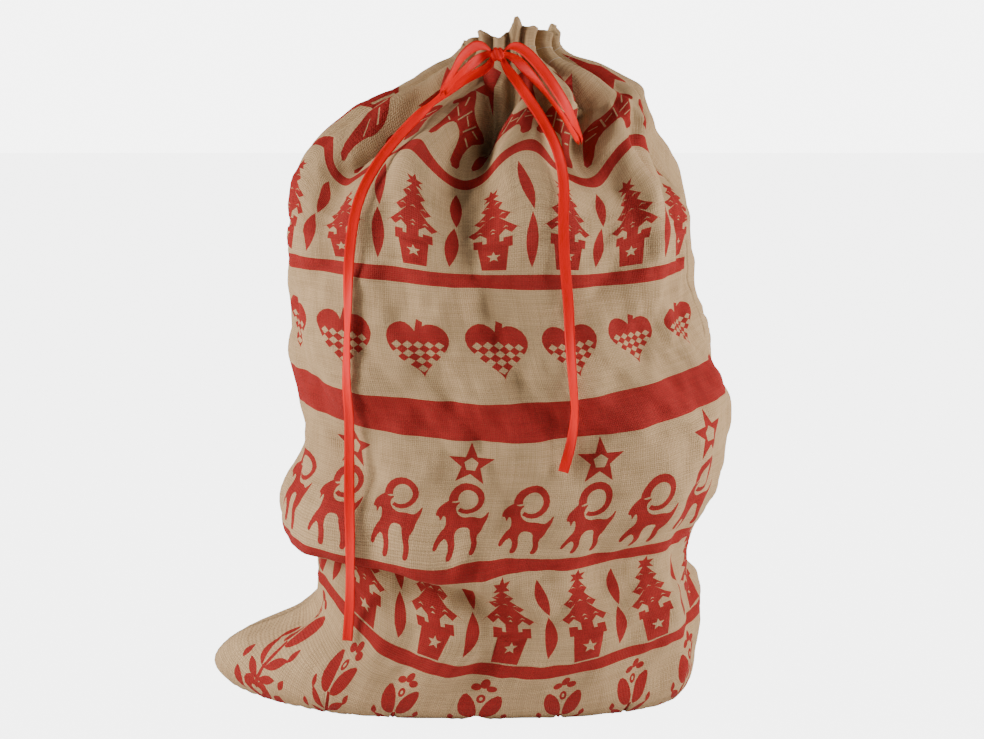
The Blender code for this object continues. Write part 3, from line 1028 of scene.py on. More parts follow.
def star_loop(points: int, outer: float, inner: float, x: float = 0.0, y: float = 0.0) -> np.ndarray:
    """A star with its first point upwards; sizes in millimetres."""
    angle = np.pi / 2 + np.arange(2 * points) * np.pi / points
    radius = np.where(np.arange(2 * points) % 2 == 0, outer, inner)
    return np.stack([x + radius * np.cos(angle), y + radius * np.sin(angle)], axis=-1) * MILLI


def disc_loop(x: float, y: float, wide: float, high: float, count: int = 12) -> np.ndarray:
    """An ellipse; sizes in millimetres."""
    angle = np.linspace(0, 2 * np.pi, count, endpoint=False)
    return np.stack([x + wide * np.cos(angle), y + high * np.sin(angle)], axis=-1) * MILLI


def leaf_loop(x: float, y: float, length: float, width: float, turn: float, count: int = 8) -> np.ndarray:
    """A lens with two points, turned from upright; sizes in millimetres."""
    t = np.linspace(0, 1, count)
    side = width / 2 * np.sin(np.pi * t) ** 0.9
    along = (t - 0.5) * length
    points = np.concatenate([np.stack([side, along], -1), np.stack([-side, along], -1)[::-1][1:-1]])
    cos, sin = math.cos(turn), math.sin(turn)
    return (points @ np.array([[cos, sin], [-sin, cos]]) + np.array([x, y])) * MILLI


def heart_loop(x: float, y: float, size: float, count: int = 40) -> np.ndarray:
    """The heart curve x = 16 sin^3 t, y = 13 cos t - 5 cos 2t - 2 cos 3t - cos 4t; size in mm per unit."""
    t = np.linspace(0, 2 * np.pi, count, endpoint=False)
    across = 16 * np.sin(t) ** 3
    up = 13 * np.cos(t) - 5 * np.cos(2 * t) - 2 * np.cos(3 * t) - np.cos(4 * t)
    return np.stack([x + size * across, y + size * up], axis=-1) * MILLI


def arc_loop(x: float, y: float, radius: float, start: float, end: float, wide: float, narrow: float) -> np.ndarray:
    """A thick arc that narrows from its start to its end; angles in degrees, sizes in millimetres."""
    t = np.linspace(0, 1, 18)
    angle = np.radians(start + (end - start) * t)
    half = (wide + (narrow - wide) * t) / 2
    spoke = np.stack([np.cos(angle), np.sin(angle)], axis=-1)
    outer, inner = (np.array([x, y]) + reach[:, None] * spoke for reach in (radius + half, radius - half))
    return np.concatenate([outer, inner[::-1]]) * MILLI


def star_motif() -> Motif:
    """A five-pointed star with a pentagon cut out of it."""
    return Motif((star_loop(5, 21, 8.6),), (star_loop(5, 6.4, 5.2),))


def heart_motif() -> Motif:
    """A woven heart: solid lobes, a tilted stem, and a chequer of bare diamonds below."""
    across, up = 5.2, 3.9
    cells = []
    for row, count in enumerate((5, 5, 3, 1)):
        for k in range(count):
            x, y = (2 * k - count + 1) * across, 1.0 - 2 * up * row
            cells.append(loop((x, y + up - 0.3), (x + across - 0.3, y), (x, y - up + 0.3), (x - across + 0.3, y)))
    stem = loop((-4.0, 6), (3.0, 6), (7.5, 23), (1.0, 25.5))
    return Motif((heart_loop(0, 0, 1.95) * np.array([1.0, 0.94]), stem), tuple(cells))


def goat_motif() -> Motif:
    """A goat walking left, its horn curling over its back."""
    body = loop(
        (-28, 2), (-27, 8), (-22, 13), (-17, 16), (-12, 13), (-5, 15), (-10, 9), (-7, 3), (0, 0), (9, 1), (17, 0),
        (21, 2), (26, 9), (25, 0), (22, -6), (21, -11), (17, -16), (20, -22), (18, -28), (12, -28), (14, -22),
        (10, -15), (8, -9), (0, -8), (-5, -10), (-6, -15), (-3, -21), (-5, -28), (-11, -28), (-9, -21), (-14, -15),
        (-19, -18), (-22, -23), (-26, -21), (-21, -12), (-16, -7), (-17, 0), (-20, 3), (-22, -3), (-24, 2),
    ) * np.array([0.86, 1.0])
    return Motif((rounded_loop(body, 1), arc_loop(1, 18, 12.5, 195, -120, 8.5, 3.6)))


def tree_motif() -> Motif:
    """A fir in a pot: a star, three ragged tiers with bare zigzags, a trunk, and a pot with a star cut out."""
    solid = [star_loop(6, 7.5, 3.6, 0, 36)]
    holes = []
    for top, base, half, teeth in ((35, 19, 13, 3), (26, 6, 19, 4), (16, -8, 24, 5)):
        zig = [(half - 2 * half * k / (2 * teeth), base + (4.5 if k % 2 else 0.0)) for k in range(1, 2 * teeth)]
        shoulder = base + (top - base) * 0.42
        solid.append(loop((0, top), (half * 0.5, shoulder), (half, base), *zig, (-half, base),
                          (-half * 0.5, shoulder)))
        middle, reach, marks = base + 6.8, half * 0.62, 2 if half < 15 else 3
        for k in range(marks):
            x = -reach + (2 * k + 1) * reach / marks
            holes.append(loop((x - 2.4, middle - 0.9), (x, middle + 1.2), (x + 2.4, middle - 0.9), (x, middle + 0.2)))
    solid += [loop((-5, -5), (5, -5), (5, -15), (-5, -15)),
              loop((-15, -11), (-8, -11), (-8, -14), (8, -14), (8, -11), (15, -11), (15, -20), (-15, -20)),
              loop((-12, -19), (12, -19), (9.5, -43), (-9.5, -43))]
    holes.append(star_loop(5, 5.6, 2.4, 0, -29))
    return Motif(tuple(solid), tuple(holes))


def leaves_motif() -> Motif:
    """Two pointed leaves, one above the other, leaning opposite ways."""
    return Motif((leaf_loop(1.0, 21, 40, 12, 0.10), leaf_loop(-0.5, -21, 42, 13, -0.08)))


def tulip_motif() -> Motif:
    """A tulip with two petals, a small flower above it, and leaves, drops and a heart below."""
    petal = rounded_loop(loop((-1, 2), (-1, 14), (-5, 24), (-14, 31), (-17, 22), (-14, 10), (-8, 3)), 1)
    solid = [petal, mirrored(petal), disc_loop(0, 25, 3.2, 4.2), disc_loop(0, 39, 3.6, 4.4),
             disc_loop(-6, 35, 4.2, 3.2), disc_loop(6, 35, 4.2, 3.2),
             loop((-1.6, 4), (1.6, 4), (1.6, -36), (-1.6, -36)), heart_loop(0, -30, 0.72, 24)]
    for x, y, length, width, turn in ((-10, -6, 22, 7, 0.9), (-19, 4, 10, 5, 0.2), (-8, -18, 18, 6, 1.1),
                                      (-17, -30, 16, 8, 0.5), (-22, -14, 9, 5, 0.3)):
        blade = leaf_loop(x, y, length, width, turn)
        solid += [blade, mirrored(blade)]
    return Motif(tuple(solid), (disc_loop(0, 25, 1.2, 1.8, 8), heart_loop(0, -30, 0.26, 16)))


def horse_motif() -> Motif:
    """A folk-art horse facing left, with bare harness lines."""
    body = loop(
        (-34, 8), (-32, 17), (-25, 27), (-21, 36), (-16, 29), (-8, 21), (0, 13), (12, 10), (22, 12), (29, 8),
        (33, -2), (30, -10), (30, -24), (34, -37), (22, -37), (17, -20), (9, -11), (-6, -11), (-12, -20), (-14, -37),
        (-26, -37), (-24, -20), (-23, -6), (-21, 4), (-25, 7), (-30, 3),
    )
    holes = [loop((-2, 11), (-0.4, 11), (-3, -8), (-4.6, -8)), loop((13, 8), (14.8, 8), (10.5, -8), (8.8, -8)),
             loop((-19, 19), (-17.6, 20.4), (-12, 8), (-13.6, 7)), loop((-20, 2), (-8, -4), (-8, -5.6), (-20, 0.4)),
             loop((0, 4), (9, 1), (9, -0.6), (0, 2.4)), loop((17, 2), (27, 2), (27, 0.4), (17, 0.4)),
             loop((18, -8), (28, -11), (28, -12.6), (18, -9.6)),
             loop((-21, -12), (-14, -14), (-14, -15.6), (-21, -13.6))]
    return Motif((rounded_loop(body, 1),), tuple(holes))


@dataclass(frozen=True)
class Pattern:
    """The whole print: bands and rows of figures between them, centred on the cloth's width."""

    margin: float = 0.011
    bands: tuple[tuple[float, float], ...] = (
        (0.1055, 0.1165), (0.2075, 0.2185), (0.3210, 0.3550), (0.4550, 0.4675), (0.5575, 0.5690),
    )

    def figures(self, flat: Flat) -> list[Motif]:
        """Every figure, placed on the cloth."""
        middle = flat.width / 2
        placed = []
        for k in range(-3, 4):
            placed.append(heart_motif().placed(middle + 0.070 * k, 0.4030, 0.90))
            placed.append(horse_motif().placed(middle + 0.072 * (k + 0.15), 0.6160, 1.0, mirror=k > 0))
            for row, tall in ((0.1620, 1.03), (0.5070, 0.83)):
                placed.append(tree_motif().stretched(1.20, tall).placed(middle + 0.072 * k + 0.006, row))
        for k in range(-3, 3):
            for row in (0.1620, 0.5120):
                placed.append(leaves_motif().placed(middle + 0.072 * (k + 0.5) + 0.006, row, 0.93, 0.06 * (-1) ** k))
        for k in range(-4, 4):
            placed.append(goat_motif().placed(middle + 0.016 + 0.056 * k, 0.2490, 0.96))
        for k in range(-2, 3):
            placed.append(star_motif().placed(middle - 0.040 + 0.112 * k, 0.2990, 1.0))
            placed.append(Motif((star_loop(5, 27, 11),)).placed(middle + 0.088 * k + 0.020, 0.6720))
        for k in range(-3, 4):
            placed.append(tulip_motif().placed(middle + 0.066 * k, 0.0600, 0.98))
        return placed


def inside(points: np.ndarray, outline: np.ndarray) -> np.ndarray:
    """Whether each point is inside a closed outline, by counting the sides to its right."""
    x, y = points[:, :1], points[:, 1:]
    x0, y0 = outline[:, 0][None], outline[:, 1][None]
    x1, y1 = np.roll(outline[:, 0], -1)[None], np.roll(outline[:, 1], -1)[None]
    crosses = (y0 > y) != (y1 > y)
    at = x0 + (y - y0) * (x1 - x0) / np.where(y1 == y0, 1.0, y1 - y0)
    return (np.count_nonzero(crosses & (x < at), axis=1) % 2) == 1


class PrintedSheet:
    """Triangles over one half of the flat cloth, whose sides follow the edges of the print."""

    def __init__(self, flat: Flat, columns: int, rows: np.ndarray, pattern: Pattern | None) -> None:
        """Cuts the cloth.

        Args:
            flat: sizes of the flat cloth.
            columns: number of grid points across.
            rows: grid's distances from the bottom seam.
            pattern: what is printed, or None.
        """
        self.flat = flat
        self.across = np.linspace(0.0, flat.width, columns)
        self.pattern = pattern
        points, faces, ink, count = [], [], [], 0
        cuts = [0.0, *(edge for band in (pattern.bands if pattern else ()) for edge in band), flat.rim]
        figures = pattern.figures(flat) if pattern else []
        for low, high in zip(cuts[:-1], cuts[1:]):
            inner = rows[(rows > low + 0.0012) & (rows < high - 0.0012)]
            lines = np.concatenate([[low], inner, [high]])
            banded = pattern is not None and (low, high) in pattern.bands
            here = [f for f in figures if low < np.mean([l[:, 1].mean() for l in f.solid]) < high]
            strip, cut, red = self.cut(lines, here, banded)
            points.append(strip)
            faces.append(cut + count)
            ink.append(red)
            count += len(strip)
        self.points, self.faces = self.weld(np.concatenate(points), np.concatenate(faces))
        self.ink = np.concatenate(ink)

    def cut(self, lines: np.ndarray, figures: list[Motif], banded: bool) -> tuple[np.ndarray, np.ndarray, np.ndarray]:
        """Triangles of one strip between two rows.

        Args:
            lines: the strip's grid rows.
            figures: figures printed in it.
            banded: whether ink covers it all, up to the margins.

        Returns:
            Points, triangles, and whether each triangle is printed.
        """
        width = self.flat.width
        grid = np.stack(np.meshgrid(self.across, lines, indexing="xy"), axis=-1).reshape(-1, 2)
        margin = self.pattern.margin if self.pattern else 0.0
        edges, outlines = [], []
        if banded:
            outlines.append(np.array([(margin, lines[0]), (width - margin, lines[0]),
                                      (width - margin, lines[-1]), (margin, lines[-1])]))
        gap, smallest, spacing = 0.0004, 0.001, 0.0011
        for figure in figures:
            for shape in (*figure.solid, *figure.holes):
                shape = np.clip(shape, [margin, lines[0] + gap], [width - margin, lines[-1] - gap])
                if min(np.ptp(shape, axis=0)) > smallest:
                    outlines.append(shape)
        spots = np.concatenate(outlines) if outlines else np.zeros((0, 2))
        keep = np.ones(len(grid), bool)
        on_edge = (np.isclose(grid[:, 1], lines[0]) | np.isclose(grid[:, 1], lines[-1])
                   | np.isclose(grid[:, 0], 0.0) | np.isclose(grid[:, 0], width))
        for shape in outlines:
            after = np.roll(shape, -1, axis=0)
            near = self.distance(grid, shape, after) < spacing
            keep &= ~near | on_edge
        grid = grid[keep]
        count = len(grid)
        for shape in outlines:
            number = np.arange(len(shape)) + count
            edges += list(zip(number.tolist(), np.roll(number, -1).tolist()))
            count += len(shape)
        points = np.concatenate([grid, spots])
        made = delaunay_2d_cdt([Vector(p) for p in points], edges, [], 0, 1e-6)
        flat_points = np.array([tuple(p) for p in made[0]])
        faces = np.array([tuple(face) for face in made[2] if len(face) == 3])
        corners = flat_points[faces]
        area = np.cross(corners[:, 1] - corners[:, 0], corners[:, 2] - corners[:, 0])
        faces = faces[np.abs(area) > 1e-12]
        middle = flat_points[faces].mean(axis=1)
        red = np.zeros(len(faces), bool)
        if banded:
            red = (middle[:, 0] > margin) & (middle[:, 0] < width - margin)
        for figure in figures:
            solid = np.zeros(len(faces), bool)
            low = np.min([l.min(axis=0) for l in figure.solid], axis=0)
            high = np.max([l.max(axis=0) for l in figure.solid], axis=0)
            close = np.nonzero(((middle > low) & (middle < high)).all(axis=1))[0]
            for shape in figure.solid:
                solid[close] |= inside(middle[close], shape)
            for shape in figure.holes:
                solid[close] &= ~inside(middle[close], shape)
            red |= solid
        red &= (middle[:, 0] > margin) & (middle[:, 0] < width - margin)
        return flat_points, faces, red

    @staticmethod
    def distance(points: np.ndarray, starts: np.ndarray, ends: np.ndarray) -> np.ndarray:
        """Distance from each point to the nearest of some segments."""
        low, high = starts.min(axis=0) - 0.002, starts.max(axis=0) + 0.002
        near = np.nonzero(((points > low) & (points < high)).all(axis=1))[0]
        result = np.full(len(points), 1.0)
        if len(near):
            step = ends - starts
            away = points[near][:, None] - starts[None]
            share = np.clip((away * step).sum(-1) / np.maximum((step**2).sum(-1), 1e-12), 0, 1)
            result[near] = np.linalg.norm(away - share[..., None] * step, axis=-1).min(axis=1)
        return result

    @staticmethod
    def weld(points: np.ndarray, faces: np.ndarray) -> tuple[np.ndarray, np.ndarray]:
        """Joins points that coincide."""
        keys = np.round(points / 2e-6).astype(np.int64)
        _, first, inverse = np.unique(keys, axis=0, return_index=True, return_inverse=True)
        return points[first], inverse.reshape(-1)[faces]


# ---------------------------------------------------------------- the sack's pieces


@dataclass
class Cloths:
    """Finishes shared by the pieces."""

    bare: bpy.types.Material
    inked: bpy.types.Material
    inside: bpy.types.Material
    seam: bpy.types.Material
    thread: bpy.types.Material
    satin: bpy.types.Material


@dataclass
class ClothHalf:
    """The front or back cloth, from the bottom seam up over the rim and down inside as the channel's facing."""

    form: SackForm
    side: Side
    cloths: Cloths
    thickness: float = 0.0010
    facing_gap: float = 0.0034
    facing_length: float = 0.037
    columns: int = 126

    def rows(self) -> np.ndarray:
        """Grid's distances from the bottom seam, closer together near the neck."""
        return np.concatenate([np.arange(0.0, 0.60, 0.0046), np.arange(0.60, self.form.flat.rim, 0.0032)])

    def facing(self, across: np.ndarray) -> tuple[np.ndarray, np.ndarray, np.ndarray]:
        """The turned-in part: a grid that goes over the rim and follows the outer layer down inside.

        Args:
            across: shares of the width.

        Returns:
            Points, quads and flat cloth coordinates.
        """
        rim = self.form.flat.rim
        downs = np.array([0.0006, 0.0014, 0.0026, 0.0045, 0.0075, 0.012, 0.018, 0.024, 0.030, self.facing_length])
        insets = self.facing_gap * np.sqrt(np.clip(downs / 0.0040, 0, 1))
        rise = 0.0009 * np.sin(np.pi * np.clip(downs / 0.0040, 0, 1))
        points = []
        for down, inset, up in zip(downs, insets, rise):
            outer, normal = self.form.wall(self.side, across, rim - down)
            row = outer - normal * inset
            row[:, 2] += up
            points.append(row)
        uv = np.stack(np.meshgrid(across * self.form.flat.width, rim + downs, indexing="xy"), axis=-1).reshape(-1, 2)
        return np.concatenate(points), grid_faces(len(downs), len(across)), uv

    def build(self, pattern: Pattern | None, name: str) -> bpy.types.Object:
        """Cuts, folds and thickens the cloth.

        Args:
            pattern: what is printed on it, or None.
            name: name of the piece.

        Returns:
            The finished piece.
        """
        sheet = PrintedSheet(self.form.flat, self.columns, self.rows(), pattern)
        across = sheet.points[:, 0] / self.form.flat.width
        points = self.form.at(self.side, across, sheet.points[:, 1])
        edge = np.linspace(0, 1, self.columns)
        fold_points, fold_faces, fold_uv = self.facing(edge)
        rim_number = {round(x * 1e5): k for k, (x, y) in enumerate(sheet.points)
                      if abs(y - self.form.flat.rim) < 1e-6}
        rim = np.array([rim_number[round(x * self.form.flat.width * 1e5)] for x in edge])
        start = len(points)
        first = np.arange(start, start + len(edge))
        joined = np.stack([rim[:-1], rim[1:], first[1:], first[:-1]], axis=-1)
        quads = np.concatenate([joined, fold_faces + start])
        triangles = np.concatenate([quads[:, [0, 1, 2]], quads[:, [0, 2, 3]]])
        faces = np.concatenate([sheet.faces, triangles])
        slots = np.concatenate([sheet.ink.astype(int), np.zeros(len(triangles), int)])
        made = mesh_object(
            name, np.concatenate([points, fold_points]), faces if self.side is Side.FRONT else faces[:, ::-1],
            [self.cloths.bare, self.cloths.inked, self.cloths.inside, self.cloths.inside],
            np.concatenate([sheet.points, fold_uv]), slots,
        )
        # The wall's inner face takes the inside cloth: the hessian darkened as painted shade.
        thicken(made, self.thickness, -1.0, 2)
        apply_modifiers(made)
        neck_blend(made)
        bands = ("base", "lower", "belly", "upper", "shoulder", "hem", "hem_facing")
        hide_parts(*(f"{self.side.name.lower()}_{band}" for band in bands))
        return made


@dataclass
class Ribbon:
    """A flat satin ribbon swept along a route, its edges curled a little and drawn together at the knot."""

    route: np.ndarray
    across: np.ndarray
    cloths: Cloths
    width: float = 0.009
    thickness: float = 0.0005
    cup: float = 0.0006
    spacing: float = 0.0025
    pinch: float = 0.5
    pinch_length: float = 0.012
    returns: bool = False

    def build(self, name: str) -> bpy.types.Object:
        """The ribbon's piece, its width as near to the across directions as the route lets it."""
        count = max(8, round(distances(smooth_path(self.route, 200))[-1] / self.spacing))
        self.middle = smooth_path(self.route, count)
        share, marks = np.linspace(0, 1, count), np.linspace(0, 1, len(self.across))
        directions = np.stack([np.interp(share, marks, column) for column in self.across.T], axis=-1)
        along = unit(np.gradient(self.middle, axis=0))
        side = unit(directions - (directions * along).sum(-1, keepdims=True) * along)
        face = np.cross(along, side)
        length = distances(self.middle)
        drawn = bell(length, 0.0, self.pinch_length)
        if self.returns:
            drawn = drawn + bell(length, length[-1], self.pinch_length)
        half = (self.width / 2 * (1 - self.pinch * drawn))[:, None]
        cup = (self.cup * (1 + 3 * self.pinch * drawn))[:, None]
        offsets = np.linspace(-1, 1, 7)
        grid = np.stack([self.middle + side * (half * offset) + face * (cup * (offset**2 - 0.5)) for offset in offsets],
                        axis=1)
        uv = np.stack(np.broadcast_arrays(length[:, None], (offsets[None] + 1) / 2 * self.width), axis=-1)
        return strip(name, grid, uv, self.cloths.satin, self.thickness)


FLAT = (1.0, 0.0, 0.0)


@dataclass(frozen=True)
class Lie:
    """How one ribbon of the bow lies."""

    route: tuple[tuple[float, float, float], ...]
    across: tuple[tuple[float, float, float], ...]
    far_end: str
    lay: str


@dataclass
class Bow:
    """The bow on the front of the neck: a knot, two loops and two tails that lie on the cloth."""

    form: SackForm
    cloths: Cloths
    clearance: float = 0.0030
    knot_centre: tuple[float, float, float] = (0.029, -0.04874, 0.5891)
    knot_half: tuple[float, float, float] = (0.0056, 0.0048, 0.0058)
    knot_squareness: float = 3.2
    lies = {
        "left_tail": Lie(
            (
                (0.0215, -0.0525, 0.5780), (0.0090, -0.0545, 0.5725), (-0.0035, -0.0580, 0.5655),
                (-0.0150, -0.0630, 0.5570), (-0.0315, -0.0700, 0.5450), (-0.0540, -0.0820, 0.5230),
                (-0.0747, -0.0910, 0.4970), (-0.0882, -0.0960, 0.4700), (-0.0945, -0.0980, 0.4400),
                (-0.0972, -0.0995, 0.4100), (-0.0981, -0.1000, 0.3755), (-0.0995, -0.0995, 0.3384),
                (-0.0999, -0.0985, 0.3100), (-0.0985, -0.0975, 0.2850), (-0.0990, -0.0960, 0.2540),
                (-0.0990, -0.0965, 0.2176), (-0.0981, -0.0980, 0.1810), (-0.0990, -0.0975, 0.1438),
                (-0.1008, -0.0960, 0.1107), (-0.1035, -0.0960, 0.0784),
            ),
            (FLAT, (0.8, 0.1, 0.5), FLAT, FLAT, (0.55, -0.80, 0.0), (0.9, -0.3, 0.0), FLAT, (0.8, -0.5, 0.0), FLAT),
            "bare", "hanging",
        ),
        "right_tail": Lie(
            (
                (0.0365, -0.0535, 0.5780), (0.0441, -0.0600, 0.5690), (0.0560, -0.0730, 0.5530),
                (0.0680, -0.0830, 0.5350), (0.0785, -0.0910, 0.5140), (0.0840, -0.0985, 0.4900),
                (0.0840, -0.1075, 0.4600), (0.0850, -0.1135, 0.4250), (0.0885, -0.1185, 0.3850),
                (0.0900, -0.1220, 0.3540), (0.0925, -0.1240, 0.3220), (0.0945, -0.1255, 0.2930),
                (0.0915, -0.1265, 0.2661), (0.0850, -0.1270, 0.2413),
            ),
            (FLAT, (0.7, 0.2, 0.6), (0.9, -0.3, 0.1), FLAT, FLAT, (0.85, -0.4, 0.0), (0.6, -0.75, 0.0), FLAT),
            "bare", "hanging",
        ),
        "left_loop": Lie(
            (
                (0.0175, -0.0525, 0.5965), (0.0100, -0.0570, 0.5965), (-0.0010, -0.0630, 0.5880),
                (-0.0080, -0.0700, 0.5760), (-0.0150, -0.0770, 0.5640), (-0.0175, -0.0772, 0.5595),
                (-0.0160, -0.0735, 0.5595), (-0.0080, -0.0665, 0.5690), (0.0040, -0.0585, 0.5790),
                (0.0175, -0.0495, 0.5880),
            ),
            ((-0.60, 0.25, 0.75), (-0.45, -0.75, 0.45), (-0.30, -0.80, 0.40), (-0.60, 0.15, 0.75)),
            "object", "loose",
        ),
        "right_loop": Lie(
            (
                (0.0415, -0.0530, 0.5965), (0.0500, -0.0580, 0.5940), (0.0657, -0.0700, 0.5790),
                (0.0810, -0.0820, 0.5580), (0.0915, -0.0905, 0.5400), (0.0975, -0.0965, 0.5240),
                (0.0990, -0.0955, 0.5195), (0.0975, -0.0915, 0.5190), (0.0910, -0.0860, 0.5290),
                (0.0800, -0.0780, 0.5450), (0.0665, -0.0670, 0.5620), (0.0530, -0.0560, 0.5770),
                (0.0415, -0.0495, 0.5870),
            ),
            ((0.75, 0.15, 0.65), (0.75, 0.15, 0.65), (0.3, -0.75, 0.5), (0.3, -0.9, 0.2), (0.6, 0.4, 0.65)),
            "object", "loose",
        ),
    }

    def knot(self) -> bpy.types.Object:
        """The knot: a rounded block |x|^n + |y|^n + |z|^n = 1 with two wraps of ribbon pressed into it."""
        rows, columns = 34, 48
        tilt, turn = np.meshgrid(np.linspace(0, np.pi, rows), np.linspace(0, 2 * np.pi, columns, endpoint=False),
                                 indexing="ij")
        ball = np.stack([np.sin(tilt) * np.cos(turn), np.sin(tilt) * np.sin(turn), np.cos(tilt)], axis=-1)
        ball = ball / (np.abs(ball) ** self.knot_squareness).sum(-1, keepdims=True) ** (1 / self.knot_squareness)
        slant = ball[..., 0] * 0.9 + ball[..., 2] * 0.35
        groove = 1 - 0.13 * bell(slant, 0.42, 0.10) - 0.13 * bell(slant, -0.42, 0.10) + 0.03 * np.cos(9 * slant)
        centre = np.array(self.knot_centre)
        points = ball * groove[..., None] * np.array(self.knot_half) + centre
        grid = np.concatenate([points[1:-1].reshape(-1, 3), points[0, :1], points[-1, :1]])
        top, bottom = len(grid) - 2, len(grid) - 1
        faces = grid_faces(rows - 2, columns, True)[:, ::-1].tolist()
        last = (rows - 3) * columns
        for here in range(columns):
            after = (here + 1) % columns
            faces += [(top, here, after), (bottom, last + after, last + here)]
        made = mesh_object("knot", grid, faces, [self.cloths.satin], (grid - centre)[:, [2, 0]] + 0.005)
        return belongs(made, "bow", "bow_knot")

    def into_knot(self, route: tuple, end: str) -> list:
        """The route, begun inside the knot, and ended there where it comes back to it."""
        x, y, z = self.knot_centre
        toward = 0.003 if route[0][0] > x else -0.003
        inner = (x + toward, y, z + (0.001 if route[0][2] > z else -0.002))
        return [inner, *route, inner] if end == "object" else [inner, *route]

    def lay(self, route: list, hangs: bool) -> np.ndarray:
        """Brings a route forward or back onto the cloth, as a slack string held off the highest folds.

        Args:
            route: the ribbon's points.
            hangs: whether the ribbon drops back onto the cloth; a loop keeps its own spring otherwise.

        Returns:
            Evenly spaced points.
        """
        points = smooth_path(np.array(route), 150)
        limit = self.form.foremost(points) - self.clearance
        limit = np.where(np.isfinite(limit), limit, points[:, 1])
        start = np.linalg.norm(points - np.array(self.knot_centre), axis=1) < 0.020
        limit = np.where(start, points[:, 1], limit)
        depth = limit.copy() if hangs else np.minimum(points[:, 1], limit)
        for _ in range(160):
            eased = depth.copy()
            eased[1:-1] = (depth[:-2] + 2 * depth[1:-1] + depth[2:]) / 4
            depth = np.where(start, points[:, 1], np.minimum(eased, limit))
        points[:, 1] = depth
        for _ in range(6):
            points[1:-1] = (points[:-2] + 2 * points[1:-1] + points[2:]) / 4
        return points

    def build(self) -> list[bpy.types.Object]:
        """Every piece of the bow."""
        made = [self.knot()]
        for name, lie in self.lies.items():
            route = self.lay(self.into_knot(lie.route, lie.far_end), lie.far_end == "bare")
            ribbon = Ribbon(route, np.array(lie.across), self.cloths, returns=lie.far_end == "object")
            piece = belongs(ribbon.build(name), name, name)
            made.append(piece)
        return made


